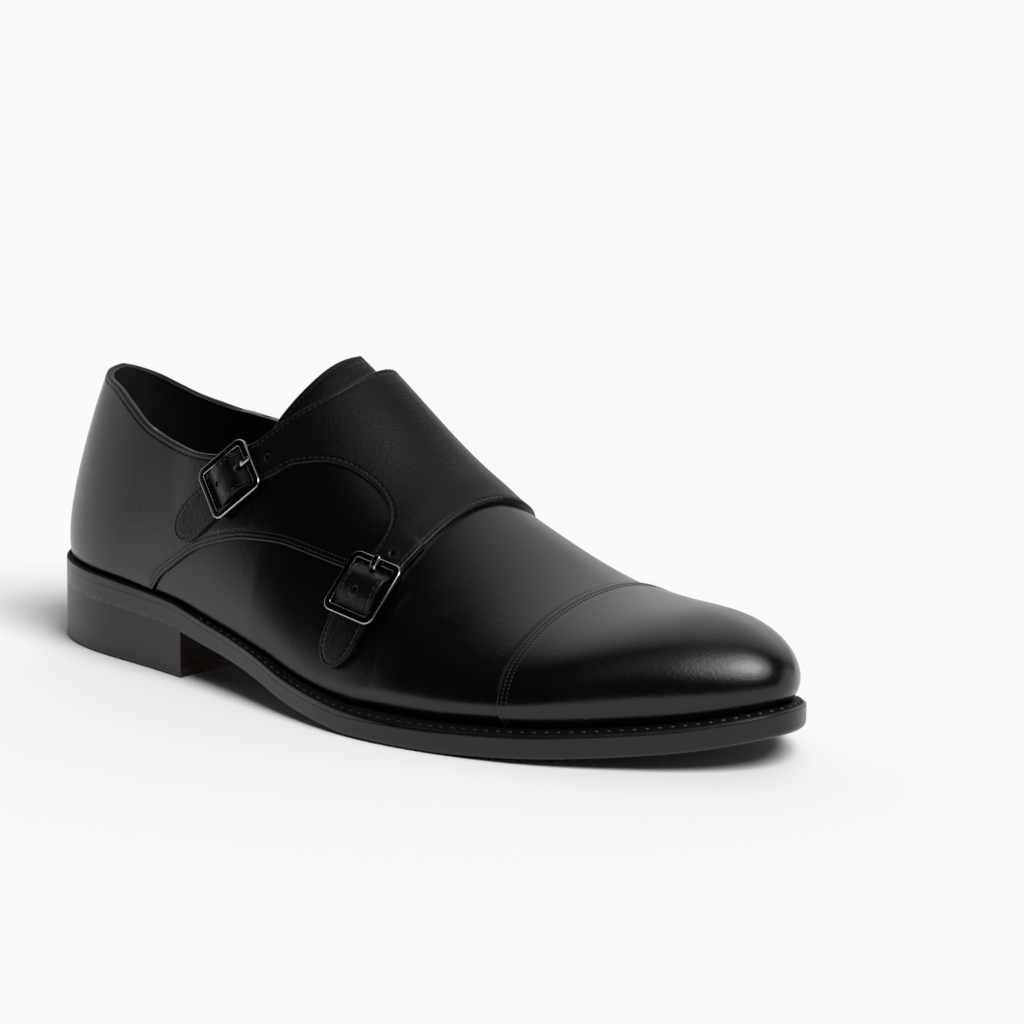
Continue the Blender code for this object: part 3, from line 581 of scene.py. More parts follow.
def panel(outline, insets, spacing, holes=()):
    """Triangles over a region of the last, finest along its outline.

    Rings of corners follow the outline at the inset distances, an even grid fills the rest, and
    each hole is an inner outline. Returns the corners' places, their distance from the outline,
    and the triangles.
    """
    inward = inward_of(outline)
    outline_points = last_surface(*outline.T)
    rings = []
    for distance in insets:
        places, kept = ring(outline, distance, inward)
        rings.append(places[kept])
    flat_outline = outline * PLACE_SCALE
    low, high = flat_outline.min(0), flat_outline.max(0)
    mesh_lines = [np.arange(low[axis], high[axis], spacing * (1.0, 0.87)[axis]) for axis in (0, 1)]
    grid = np.stack(np.meshgrid(*mesh_lines, indexing="ij"), -1)
    grid[:, ::2, 0] += spacing / 2
    grid = grid.reshape(-1, 2) / PLACE_SCALE
    grid = grid[inside(grid, outline)]
    apart = distance_to(last_surface(*grid.T), outline_points, closed=True)
    grid = grid[apart > max(insets) + 0.5 * spacing]
    for hole in holes:
        grid = grid[off_centre(hole, last_surface(*grid.T)) > HOLE_CLEAR]
    around_holes = [hole.mean(0) + size * (hole - hole.mean(0)) for hole in holes for size in HOLE_RINGS]
    corners = np.concatenate([outline, *holes, *rings, *around_holes, grid])
    edges, first = [], 0
    for loop in (outline, *holes):
        edges += [(first + i, first + (i + 1) % len(loop)) for i in range(len(loop))]
        first += len(loop)
    flat, _, faces, *_ = delaunay_2d_cdt([Vector(p) for p in corners * PLACE_SCALE], edges, [], 0, 1e-6)
    places = np.array([tuple(p) for p in flat]) / PLACE_SCALE
    faces = np.array([face for face in faces if len(face) == 3])
    centres = places[faces].mean(1)
    wanted = inside(centres, outline)
    for hole in holes:
        wanted &= ~inside(centres, hole)
    used, numbers = np.unique(faces[wanted], return_inverse=True)
    places = places[used]
    return places, distance_to(last_surface(*places.T), outline_points, closed=True), numbers.reshape(-1, 3)


def rounded_off(distance, radius=EDGE_ROUND):
    """How far a face drops toward its cut edge: a quarter circle of the radius."""
    inner = np.clip(1 - distance / radius, 0, 1)
    return radius * (1 - np.sqrt(1 - inner ** 2))


def grooves(points, rows, depth=0.17, width=0.34):
    """How far stitch rows pull a face down: a bell curve over the distance to each row."""
    total = np.zeros(len(points))
    for row in rows:
        line = last_surface(*row.T)
        near = (points > line.min(0) - 1.5).all(1) & (points < line.max(0) + 1.5).all(1)
        pull = depth * np.exp(-(distance_to(points[near], line) / width) ** 2)
        total[near] = np.maximum(total[near], pull)
    return total


def stitches(rows, height, pitch=STITCH_PITCH, length=0.75, thick=0.21):
    """Thread along rows of places, height(row) over the last: one small capsule for each stitch."""
    centres, heads, ups = [], [], []
    for row in rows:
        points = skin(*row.T, height(row))
        travelled = lengths_along(points)
        at = np.arange(pitch / 2, travelled[-1], pitch)
        centres.append(columns_at(at, travelled, points))
        heads.append(unit(columns_at(at + 0.3, travelled, points) - columns_at(at - 0.3, travelled, points)))
        ups.append(last_normal(*columns_at(at, travelled, row).T))
    return capsules(np.concatenate(centres), np.concatenate(heads), np.concatenate(ups), length, thick)


def capsules(centres, heads, ups, length, thick):
    """Small closed capsules at centres, lying along heads, with a third of each sunk in.

    Each is five rings of 6 points along its length t from -1 to 1, of radius thick sqrt(1 - t^4).
    """
    sides = unit(np.cross(heads, ups))
    ups = np.cross(sides, heads)
    stations = np.array([-0.97, -0.75, 0.0, 0.75, 0.97])
    turn = np.arange(6) * math.tau / 6
    ring_size = thick * np.sqrt(1 - stations ** 4)
    shape = (centres[:, None, None] + 0.35 * thick * ups[:, None, None]
             + 0.5 * length * stations[None, :, None, None] * heads[:, None, None]
             + ring_size[None, :, None, None] * (np.cos(turn)[None, None, :, None] * sides[:, None, None]
                                                 + np.sin(turn)[None, None, :, None] * ups[:, None, None]))
    count = len(centres)
    one = grid_faces(5, 6, closed_columns=True)
    ends = np.array([np.arange(6)[::-1], 24 + np.arange(6)])
    shift = (30 * np.arange(count))[:, None, None]
    return shape.reshape(-1, 3), [(one[None] + shift).reshape(-1, 4), (ends[None] + shift).reshape(-1, 6)]


def joined(parts):
    """Several (points, faces) put together as one."""
    points, faces, start = [], [], 0
    for part_points, part_faces in parts:
        points.append(part_points)
        faces += [group + start for group in part_faces]
        start += len(part_points)
    return np.concatenate(points), faces


# ---------------------------------------------------------------------------------------------
# Straps


class Strap:
    """A strap's own frame on the last: s runs toward its tip, w across it, both in millimetres."""

    def __init__(self, along, around, heading, width, neck, tip):
        self.centre = np.array([along, around])
        self.width, self.neck, self.tip = width, neck, tip
        d_along, d_around = last_slopes(along, around)
        self.normal = last_normal(along, around)
        ahead = unit(d_along)
        up = np.cross(ahead, -self.normal)
        up = up if up[2] > 0 else -up
        angle = math.radians(heading)
        self.s_axis = math.cos(angle) * ahead + math.sin(angle) * up
        self.w_axis = np.cross(self.normal, self.s_axis)
        self.origin = last_surface(along, around)
        self.to_places = np.linalg.pinv(np.stack([d_along, d_around], 1))

    def places(self, s, w):
        """The (along, around) of spots s toward the tip and w across, found by Newton steps."""
        s, w = np.broadcast_arrays(np.asarray(s, float), np.asarray(w, float))
        found = np.broadcast_to(self.centre, (*s.shape, 2)).copy()
        for _ in range(14):
            here_s, here_w = self.along_strap(found[..., 0], found[..., 1])
            step = (s - here_s)[..., None] * self.s_axis + (w - here_w)[..., None] * self.w_axis
            found += step @ self.to_places.T
        return found

    def along_strap(self, along, around):
        """The distance s and w of places on the last from the buckle's middle."""
        offset = last_surface(along, around) - self.origin
        return offset @ self.s_axis, offset @ self.w_axis

    def point(self, s, w, height):
        """A point in the buckle's flat frame, height over the last at the buckle's middle."""
        s, w, height = (np.asarray(value, float)[..., None] for value in (s, w, height))
        return self.origin + s * self.s_axis + w * self.w_axis + height * self.normal

    def outline(self):
        """The strap's edge from its far neck round the tip to the near neck, in 1 mm steps."""
        half = self.width / 2
        straight_end = self.tip - STRAP_TIP_ROUND
        leg = np.arange(-self.neck, straight_end, 1.0)
        turn = np.linspace(0, math.pi, 33)
        s = np.concatenate([leg, straight_end + STRAP_TIP_ROUND * np.sin(turn), leg[::-1]])
        w = np.concatenate([0 * leg + half, half * np.cos(turn), 0 * leg - half])
        return self.places(s, w)


STRAP = {name: Strap(**values) for name, values in STRAPS.items()}


def strap_lift(along, around):
    """The bow of the straps over their centre bars: lift e^(-|(s-crest)/reach|^3) across the strap."""
    total = 0.0
    for strap in STRAP.values():
        s, w = strap.along_strap(along, around)
        off = np.linalg.norm(last_surface(along, around) - strap.origin, axis=-1)
        far = (s - STRAP_CREST) / np.where(s < STRAP_CREST, STRAP_RISE, STRAP_FALL)
        total = total + STRAP_LIFT * np.exp(-np.abs(far) ** 3 - (w / 16.0) ** 8) * (off < 25)
    return total


# ---------------------------------------------------------------------------------------------
# Outlines of the leather panels


def chain(*runs):
    """Runs of places as one closed outline; a gap between two runs is filled straight."""
    parts = []
    for run, following in zip(runs, [*runs[1:], runs[0]]):
        parts.append(run)
        gap = straight(run[-1], following[0])
        if len(gap) > 2:
            parts.append(gap[1:-1])
    line = np.concatenate(parts)
    apart = np.linalg.norm(last_surface(*line.T) - last_surface(*np.roll(line, 1, axis=0).T), axis=1)
    return line[apart > 0.25]


def run_through(run, before=(), after=()):
    """A table's line, faired through extra places before and after it."""
    middle = np.stack([run["along"], run["around"]], -1)
    places = np.vstack([np.reshape(before, (-1, 2)), middle, np.reshape(after, (-1, 2))])
    return faired(dict(along=places[:, 0], around=places[:, 1]))


def belongs(outline, *runs):
    """Which points of an outline lie on one of the runs."""
    points = last_surface(*outline.T)
    return np.min([distance_to(points, last_surface(*run.T)) for run in runs], axis=0) < 0.3


upper_strap, lower_strap = STRAP["upper"], STRAP["lower"]
topline = {-1: faired(TOPLINE_LATERAL), 1: faired(TOPLINE_MEDIAL)}
lateral_seam, medial_seam = faired(LATERAL_SEAM), faired(MEDIAL_SEAM)
quarter_throat = faired(QUARTER_THROAT)
flap_top = run_through(FLAP_TOP, after=upper_strap.places([-9.0], -upper_strap.width / 2))
flap_notch = run_through(FLAP_NOTCH, upper_strap.places([-9.0], upper_strap.width / 2),
                         lower_strap.places([-7.0], -lower_strap.width / 2))
flap_front = run_through(FLAP_FRONT, lower_strap.places([-6.5, -9.5], lower_strap.width / 2))
strap_edge = {"upper": upper_strap.outline()[::-1], "lower": lower_strap.outline()[::-1]}
for name, strap in STRAP.items():
    s, _ = strap.along_strap(*strap_edge[name].T)
    strap_edge[name] = strap_edge[name][s > (-8.0 if name == "upper" else -6.0)]

BOTTOM = 1.012                                # the upper's hidden bottom edge, 1.2 mm under the sole line
lateral_foot = straight((0.0, -BOTTOM), (74.0, -BOTTOM))
medial_foot = straight((74.0, BOTTOM), (0.0, BOTTOM))
quarter_outline = chain(topline[-1], quarter_throat[::-1], lateral_seam[::-1], lateral_foot[::-1])
flap_outline = chain(topline[1], flap_top, strap_edge["upper"], flap_notch, strap_edge["lower"], flap_front,
                     medial_seam[1:], medial_foot)
SEAM_POINTS = {-1: last_surface(*lateral_seam.T), 1: last_surface(*medial_seam.T)}
FRONT_POINTS = last_surface(*flap_front.T)


# ---------------------------------------------------------------------------------------------
# Heights of the leather over the last


def off_seam(places):
    """Distance of places from the quarter's lower edge on their own side of the last."""
    points = last_surface(*places.T)
    return np.where(places[:, 1] < 0, *(distance_to(points, SEAM_POINTS[side]) for side in (-1, 1)))


def quarter_height(places):
    """A quarter's face: nearly flush, rising over the vamp toward its seam and under the flap."""
    along, around = places.T
    under_flap = smoothstep(76, 96, along) * (np.abs(around) < 0.7)
    raised = np.maximum(np.exp(-(off_seam(places) / 14) ** 2), under_flap)
    return QUARTER_FACE + (QUARTER_FACE_AT_SEAM - QUARTER_FACE) * raised


def quarter_back(places):
    """A quarter's flesh side."""
    return quarter_height(places) - LEATHER


def flap_height(places):
    """The medial quarter's face, stepping up over the instep to lie on the lateral quarter."""
    along, around = places.T
    over = smoothstep(0.66, 0.44, around) * smoothstep(80, 106, along + 20 * smoothstep(0.5, 0.2, around))
    near_front = smoothstep(12, 1, distance_to(last_surface(along, around), FRONT_POINTS)) * (around > -0.34)
    top = FLAP_FACE - 0.7 * near_front
    for strap in STRAP.values():
        s, w = strap.along_strap(along, around)
        on_strap = (np.abs(w) < strap.width / 2 + 1) & (around < -0.3)
        top = top - 0.35 * smoothstep(8, 24, s) * on_strap
    return quarter_height(places) * (1 - over) + top * over + strap_lift(along, around)


def flap_back(places):
    """The flap's flesh side: straps and flap are two layers thick, the medial quarter is one."""
    face = flap_height(places)
    return face - LEATHER - 0.85 * smoothstep(1.1, 1.7, face)


def vamp_height(along, around):
    """The vamp's face, dropping where a quarter covers it."""
    places = np.stack([along, around], -1).reshape(-1, 2)
    under = inside(places, quarter_outline) | (inside(places, flap_outline) & (places[:, 1] > 0.45))
    return (-0.72 * smoothstep(1.0, 9.0, off_seam(places)) * under).reshape(np.shape(along))


# ---------------------------------------------------------------------------------------------
# Leather pieces


def leather_panel(outline, height, back, insets, rows, spacing=2.1, holes=(), edge_round=EDGE_ROUND):
    """A cut panel: its face with rounded edges and stitch grooves, and its flesh side.

    The face dips toward a hole's middle and stands up in a low ring round it.
    """
    places, apart, faces = panel(outline, insets, spacing, holes)
    top = height(places)
    points = last_surface(*np.stack([places[:, 0], np.clip(places[:, 1], -1, 1)]))
    face = top - rounded_off(apart, edge_round) - grooves(points, rows)
    for hole in holes:
        off = off_centre(hole, points)
        face = face - 0.4 * np.exp(-(off / 1.05) ** 4) + 0.16 * np.exp(-((off - 1.5) / 0.4) ** 2)
    outer = hidden_ends(*places.T, face)
    inner = hidden_ends(*places.T, back(places))
    return closed_slab(outer, inner, faces)


QUARTER_RINGS = (0.12, 0.35, 0.7, 1.0, 1.3, 1.55, 1.8, 2.1, 2.4, 2.7, 3.1)   # fine rings, from the edge in
FLAP_RINGS = (0.08, 0.2, 0.4, 0.7, 1.0, 1.25, 1.5, 1.75, 2.1, 2.7, 3.3)
TONGUE_RINGS = (0.15, 0.4, 0.8, 1.3, 2.0, 2.7)
HOLE_RADIUS = 0.85
HOLE_TURN = np.arange(14) * math.tau / 14
HOLE_RINGS = (1.3, 1.7, 2.1, 2.6)             # rings of corners round a hole, by its radius
HOLE_CLEAR = 2.6                              # the even grid keeps this far from its middle
HOLES = {                                     # (s, w) of each; the prong goes through the middle one
    "upper": ((4.3, -0.9), (-5.2, -0.3), (-15.0, 1.7)),
    "lower": ((1.8, -0.7), (-5.9, 0.2), (-13.9, 1.2)),
}


def quarter_rows(outline, seam, collar):
    """Stitch rows of a quarter: two along its seam and one under its collar."""
    rows = [row for distance in SEAM_ROWS for row in stitch_lines(outline, belongs(outline, seam), distance)]
    return rows + stitch_lines(outline, belongs(outline, collar), COLLAR_ROW)


def make_quarters(calf, flap_calf, thread):
    """The lateral quarter, and the medial one, which is cut in one piece with the flap and straps."""
    rows = quarter_rows(quarter_outline, lateral_seam, topline[-1])
    add_piece("quarter_lateral",
              *leather_panel(quarter_outline, quarter_height, quarter_back, QUARTER_RINGS, rows),
              calf, "upper_leather", ("upper",), crease=50)
    thread_parts = [stitches(rows, lambda row: quarter_height(row) - 0.1)]

    rows = quarter_rows(flap_outline, medial_seam, topline[1])
    free = belongs(flap_outline, flap_top, flap_notch, flap_front, *strap_edge.values())
    rows += stitch_lines(flap_outline, free, FLAP_ROW)
    holes = [STRAP[name].places(s + HOLE_RADIUS * np.cos(HOLE_TURN), w + HOLE_RADIUS * np.sin(HOLE_TURN))
             for name, spots in HOLES.items() for s, w in spots]
    add_piece("monk_flap_leather",
              *leather_panel(flap_outline, flap_height, flap_back, FLAP_RINGS, rows, holes=holes,
                             edge_round=0.6),
              flap_calf, "upper_leather", ("monk_flap",), crease=50)
    thread_parts.append(stitches(rows, lambda row: flap_height(row) - 0.14, FLAP_PITCH, FLAP_STITCH))
    add_piece("upper_stitches", *joined(thread_parts), thread, "upper_leather")


def rim_of(along, side):
    """Where the shell's opening is: |around| of the collar and throat, 0 ahead of them."""
    return np.where(along < COLLAR["along"][-1], monotone(COLLAR["along"], COLLAR[REACH[side]], along), 0.0)


def shell(columns, rows, outer, inner):
    """A closed wall from the opening's rim down to the sole on both sides of the last.

    The sides share their points at the heel's seam and on the ridge ahead of the opening.
    """
    rim = np.stack([rim_of(columns, side) for side in (-1, 1)])[..., None]
    around = np.array([-1.0, 1.0])[:, None, None] * (rim + (BOTTOM - rim) * rows)
    along = np.broadcast_to(columns[:, None], around.shape)
    index = np.arange(around.size).reshape(around.shape)
    index[1, columns == 0] = index[0, columns == 0]
    index[1, rim[1, :, 0] == 0, 0] = index[0, rim[1, :, 0] == 0, 0]
    faces = np.concatenate([quads(index[0]), quads(index[1])[:, ::-1]])
    return closed_slab(hidden_ends(along, around, outer(along, around)).reshape(-1, 3),
                       hidden_ends(along, around, inner(along, around)).reshape(-1, 3), faces)


def make_vamp(calf, lining_leather):
    """The vamp, which runs on under the quarters and the toe cap, and the lining inside it all."""
    columns = np.concatenate([np.linspace(62, 212, 130), np.linspace(213, 224, 14)])
    rows = 1 - (1 - np.linspace(0, 1, 70)) ** 1.15

    def face(along, around):
        tucked = smoothstep(cap_seam(around) - 1.6, cap_seam(around) + 1.2, along)
        return vamp_height(along, around) - 0.65 * tucked

    def level(height):
        return lambda along, around: 0 * along + height

    add_piece("vamp", *shell(columns, rows, face, level(VAMP_BACK)), calf, "upper_leather", ("upper",),
              weld=0.03)
    columns = np.linspace(0, 215, 140)
    rows = np.linspace(0, 1, 46)
    add_piece("lining", *shell(columns, rows, *map(level, LINING)), lining_leather, "insole_leather",
              ("upper",), weld=0.03)


def cap_seam(around):
    """The toe cap's edge: the along at which it crosses around."""
    return cubic(CAP_SEAM["around"], CAP_SEAM["along"], np.clip(around, -1, 1))


def make_toe_cap(calf, thread):
    """The cap: rows of points run from its seam to the toe tip, finest at its edge and stitch rows.

    Its face drops by a quarter circle at the edge and by a bell curve at each stitch row.
    """
    near = np.array([0, 0.06, 0.15, 0.3, 0.55, 0.85, 1.1, 1.35, 1.7, 2.05, 2.4, 2.9, 3.3, 3.7, 4.2])
    ahead = np.concatenate([near / CAP_SCALE, np.linspace(5.2, 84, 86)])
    around = np.linspace(-BOTTOM, BOTTOM, 181)
    span = ALONG_END - cap_seam(around)
    scale = np.where(ahead[:, None] < 5, 1, span / ahead[-1])
    along = cap_seam(around) + scale * ahead[:, None]
    index = np.arange(along.size).reshape(along.shape)
    index[-1] = np.minimum(index[-1], index[-1, ::-1])
    around_grid = np.broadcast_to(around, along.shape)
    distance = (along - cap_seam(around)) * CAP_SCALE
    pulled = sum(0.13 * np.exp(-((distance - row) / 0.36) ** 2) for row in CAP_ROWS)
    face = CAP_FACE - rounded_off(distance, 0.5) - pulled
    points, faces = closed_slab(hidden_ends(along, around_grid, face).reshape(-1, 3),
                                hidden_ends(along, around_grid, 0 * along - 0.25).reshape(-1, 3),
                                quads(index))
    add_piece("toe_cap_leather", points, faces, calf, "upper_leather", ("toe_cap",), weld=0.03)
    turn = np.linspace(-0.99, 0.99, 400)
    rows = [evenly(np.stack([cap_seam(turn) + row / CAP_SCALE, turn], -1), 1.0) for row in CAP_ROWS]
    add_piece("cap_stitches", *stitches(rows, lambda row: np.full(len(row), CAP_FACE - 0.1)), thread,
              "upper_leather")


def make_tongue(calf, thread):
    """The tongue: a padded panel inside the last's surface, its two edges faired into one outline."""
    top, end = (121.0, 0.0), (186.0, 0.0)
    knots = {side: np.array([top, *zip(TONGUE["along"], TONGUE[REACH[side]])]) for side in (-1, 1)}
    edges = {}
    for side in (-1, 1):
        line = np.vstack([knots[-side][2:0:-1], knots[side], end])
        edge = faired(dict(zip(("along", "around"), line.T)))
        edges[side] = edge[np.argmax(side * edge[:, 1] >= 0):]
    outline = chain(edges[-1], edges[1][::-1])

    def face(places):
        return np.full(len(places), TONGUE_FACE)

    rows = stitch_lines(outline, outline[:, 0] < 150, TONGUE_ROW)
    add_piece("tongue_leather",
              *leather_panel(outline, face, lambda places: face(places) - 2.0, TONGUE_RINGS, rows, 2.4,
                             edge_round=0.8),
              calf, "upper_leather", ("tongue",))
    add_piece("tongue_stitches", *stitches(rows, lambda row: face(row) - 0.1, FLAP_PITCH, FLAP_STITCH),
              thread, "upper_leather")


def make_collar(calf, raw_edge):
    """The collar's edge: a half round carried along the topline from flap to flap, inked on top.

    Each section point is out along the last's normal and lifted square to it; both ends taper in.
    """
    tail = straight(topline[1][-1], (100.0, 0.56))[1:]
    path = np.concatenate([topline[-1][::-1], topline[1][1:], tail])
    surface, normal = last_surface(*path.T), last_normal(*path.T)
    run = unit(np.gradient(surface, axis=0))
    rise = unit(np.cross(normal, run))
    rise *= np.sign(rise[:, 2:])
    out, lift = np.array([
        (0.2, -1.15), (0.32, -1.05), (0.34, -0.75), (0.33, -0.4), (0.28, -0.14), (0.1, 0.0), (-0.2, 0.06),
        (-0.6, 0.08), (-1.1, 0.06), (-1.5, 0.0), (-1.75, -0.14), (-1.9, -0.4), (-2.06, -1.0), (-1.9, -1.15),
        (-0.85, -0.9)]).T
    step = np.arange(len(path))
    slim = np.clip(np.minimum(step, step[::-1]) / 3.0, 0.05, 1)[:, None]
    middle = -0.85
    sections = (surface[:, None] + (middle + (out - middle) * slim)[..., None] * normal[:, None]
                + (lift * slim)[..., None] * rise[:, None])
    points, faces = swept(sections)
    groups = striped(faces, len(out), np.arange(3, 11), (0, 1))
    add_piece("collar_binding", points, groups, (calf, raw_edge), "upper_leather")


# ---------------------------------------------------------------------------------------------
# Sole


def edge_line(side, shares, inset, height):
    """Points at shares of one half of the sole's edge, moved in by inset, at height(x)."""
    xy = columns_at(shares, FRACTION, inset_edge(side, inset))
    return np.concatenate([xy, height(xy[:, :1])], -1)


def share_at(side, x):
    """How far along its half of the sole's edge x is reached."""
    front = slice(int(np.argmin(EDGE[side][:, 0])), int(np.argmax(EDGE[side][:, 0])) + 1)
    return np.interp(x, EDGE[side][front, 0], FRACTION[front])


SOLE_ROWS, HEEL_ROWS = 11, 13                 # columns of faces across a layer's underside


def layer(profile, shares, level_rows):
    """Rings across a layer of the sole, from heel to toe.

    profile(side) lists (inset, height(x)) from the rim of the bottom face up to the rim of the
    top face; level rows between the two halves close each ring at top and bottom.
    """
    sides = {side: [edge_line(side, shares, *step) for step in profile(side)] for side in (-1, 1)}
    across = np.linspace(0, 1, level_rows + 1)[1:-1]
    rings = sides[-1] + [sides[-1][-1] * (1 - c) + sides[1][-1] * c for c in across]
    rings += sides[1][::-1] + [sides[1][0] * (1 - c) + sides[-1][0] * c for c in across]
    return np.stack(rings, 1)


def make_sole(edge_ink, sole_leather):
    """The outsole: upright edges, with a quarter-round lower corner ahead of the heel."""
    turn = np.linspace(0, math.pi / 2, 5)

    def rounding(x):
        return 0.02 + 1.7 * smoothstep(HEEL_BREAST_X - 1, HEEL_BREAST_X + 30, x)

    def profile(side):
        radius = rounding(EDGE[side][:, 0])
        steps = [(radius * (1 - math.sin(t)), lambda x, t=t: underside(x) + rounding(x) * (1 - math.cos(t)))
                 for t in turn]
        steps += [(0.0, lambda x, share=share: underside(x) + share * outsole_thickness(x))
                  for share in (0.3, 0.45, 0.6, 0.75, 0.9, 0.98)]
        return steps + [(0.08, outsole_top)]

    sections = layer(profile, np.linspace(0, 1, 321), SOLE_ROWS)
    points, faces = swept(sections)
    size = sections.shape[1]
    groups = striped(faces, size, np.arange(size - SOLE_ROWS, size), (0, 1))
    add_piece("outsole_leather", points, groups, (edge_ink, sole_leather), "edge_leather", ("outsole",),
              weld=0.02)


BREAST_HOLLOW = 2.2                           # how far the heel's front face curves back
LIFT_EDGE = (                                 # the top lift's rim: (inset, height) from the floor up
    (0.9, 0.0), (0.45, 0.12), (0.12, 0.45), (0.0, 0.9), (0.0, 2.0), (0.0, TOP_LIFT - 0.06), (0.02, TOP_LIFT))


def make_heel(edge_ink, breast_leather, lift_leather, rubber):
    """Heel layers: full width at the back, ending in a hollow front face at the breast."""
    end = (share_at(-1, HEEL_BREAST_X) + share_at(1, HEEL_BREAST_X)) / 2
    shares = np.linspace(0, 1, 90) * end

    def heel_layer(name, levels, surfaces, slot, cad_node):
        """A layer whose side takes the first surface, its breast the second, its underside the third."""
        sections = layer(lambda side: levels, shares, HEEL_ROWS)
        x, y = sections[..., 0], sections[..., 1]
        middle = np.interp(x, (0, HEEL_BREAST_X), (-1.0, -10.0))
        half = np.interp(x, (0, 30, HEEL_BREAST_X), (22.0, 31.0, 32.0))
        hollow = BREAST_HOLLOW * np.clip(1 - ((y - middle) / half) ** 2, 0, 1)
        sections[..., 0] -= hollow * smoothstep(0.55, 1.0, shares / end)[:, None]
        points, faces = swept(sections)
        size = sections.shape[1]
        groups = striped(faces, size, np.arange(size - HEEL_ROWS, size), (0, 2), (0, 1))
        add_piece(name, points, groups, surfaces, slot, (cad_node,), weld=0.01)

    def level(share, lower=0.0, upper=0.0):
        """Heights at a share of the stack, from the top lift to the outsole."""
        return lambda x: (TOP_LIFT + lower) * (1 - share) + (underside(x) + upper) * share

    stack = [(0.02, level(0.0)), (0.0, level(0.0, 0.06))]
    stack += [(0.0, level(share)) for share in (0.2, 0.4, 0.6, 0.8)]
    stack += [(0.0, level(1.0, 0.0, -0.05)), (0.06, level(1.0, 0.0, 0.02))]
    heel_layer("heel_stack_leather", stack, (edge_ink, breast_leather, edge_ink), "heel_leather",
               "heel_stack")
    lift = [(inset, lambda x, height=height: 0 * x + height) for inset, height in LIFT_EDGE]
    heel_layer("heel_top_lift_rubber", lift, (edge_ink, lift_leather, rubber), "heel_rubber",
               "heel_top_lift")


def edge_sections(section, breast_x, round_toe, samples):
    """Sections of a band that follows the sole's edge round the toe or the heel to breast_x.

    section(side, x) lists (inset, height over the outsole) pairs, x being the sole's edge.
    """
    legs = []
    for side in (-1, 1):
        shares = np.linspace(share_at(side, breast_x), 1.0 if round_toe else 0.0, samples)
        rows = []
        for inset, height in section(side, EDGE[side][:, 0]):
            flat = inset_edge(side, inset)
            line = np.column_stack([flat, outsole_top(flat[:, 0]) + height])
            rows.append(columns_at(shares, FRACTION, line))
        legs.append(np.stack(rows, 1))
    return np.concatenate([legs[0], legs[1][::-1][1:]])


def band_profile(side, x):
    """The band under the upper: a plain bead round the heel, and from the waist on a welt.

    At the waist the welt has an upright rim, ahead of it a slope straight up from the joint; both
    end in a narrow channel by the upper.
    """
    thick, wide, zero = seat(x), reach(side), 0 * x
    rim = np.minimum(1.8, 0.75 * thick)
    bevel = np.minimum(2.6, 0.62 * wide)
    channel = [(0.88 * wide, thick - 0.75), (wide + 0.3, thick - 0.95), (wide + 3.8, thick - 0.95),
               (wide + 3.8, zero - 0.05)]
    waist = [(zero + 0.09, zero - 0.05), (zero, zero + 0.12), (zero, rim - 0.35), (zero + 0.12, rim - 0.08),
             (zero + 0.4, rim + 0.08), (0.6 * bevel + 0.2, 0.5 * (rim + thick)), (bevel, thick - 0.12),
             (1.1 * bevel, thick), (np.maximum(bevel + 0.4, 0.74 * wide), thick - 0.05), *channel]
    slope = [(zero + 0.09, zero - 0.05), (zero + 0.1, zero + 0.04), (zero + 0.35, zero + 0.3),
             (zero + 0.75, zero + 0.62), (zero + 1.25, zero + 0.96), (zero + 2.1, zero + 1.45),
             (zero + 3.0, thick - 0.22), (zero + 3.5, thick - 0.08),
             (np.maximum(zero + 3.9, 0.74 * wide), thick - 0.05), *channel]
    bead = [(zero, zero - 0.05), (zero, zero + 0.12), (zero, thick - 1.3), (zero + 0.05, thick - 0.8),
            (zero + 0.2, thick - 0.4), (zero + 0.5, thick - 0.14), (zero + 0.85, thick - 0.1),
            (zero + 1.1, thick - 0.25), (zero + 1.25, thick - 0.6), (zero + 1.35, thick - 1.3),
            (wide + 0.6, thick - 1.7), (wide + 3.8, thick - 1.7), (wide + 3.8, zero - 0.05)]
    forward, ahead = smoothstep(76, 104, x), smoothstep(168, 202, x)
    return [tuple((1 - forward) * a + forward * ((1 - ahead) * b + ahead * c) for a, b, c in zip(*step))
            for step in zip(bead, waist, slope)]


def make_welt(welt_ink, edge_ink, thread):
    """The welt, black on top; its rim is burnished like the outsole's edge. And the heel's rand."""
    for name, front, samples, node_name in (("welt_leather", True, 340, "welt"),
                                            ("heel_rand_leather", False, 130, "heel_rand")):
        sections = edge_sections(band_profile, HEEL_BREAST_X, front, samples)
        points, faces = swept(sections)
        groups = striped(faces, sections.shape[1], np.arange(3), (1, 0), (1, 1))
        add_piece(name, points, groups, (edge_ink, welt_ink), "edge_leather", (node_name,), weld=0.01)

    def row_line(side, x):
        profile = band_profile(side, x)
        return [tuple((a + b) / 2 for a, b in zip(profile[4], profile[5]))]

    line = edge_sections(row_line, 92.0, True, 700)[:, 0]
    travelled = lengths_along(line)
    at = np.arange(WELT_PITCH, travelled[-1] - WELT_PITCH / 2, WELT_PITCH)
    spots, later = (columns_at(at + off, travelled, line) for off in (0, 0.5))
    ups = np.broadcast_to((0.0, 0.0, 1.0), spots.shape)
    add_piece("welt_stitches", *capsules(spots, unit(later - spots), ups, 1.25, 0.3), thread, "edge_leather")


# ---------------------------------------------------------------------------------------------
# Buckles

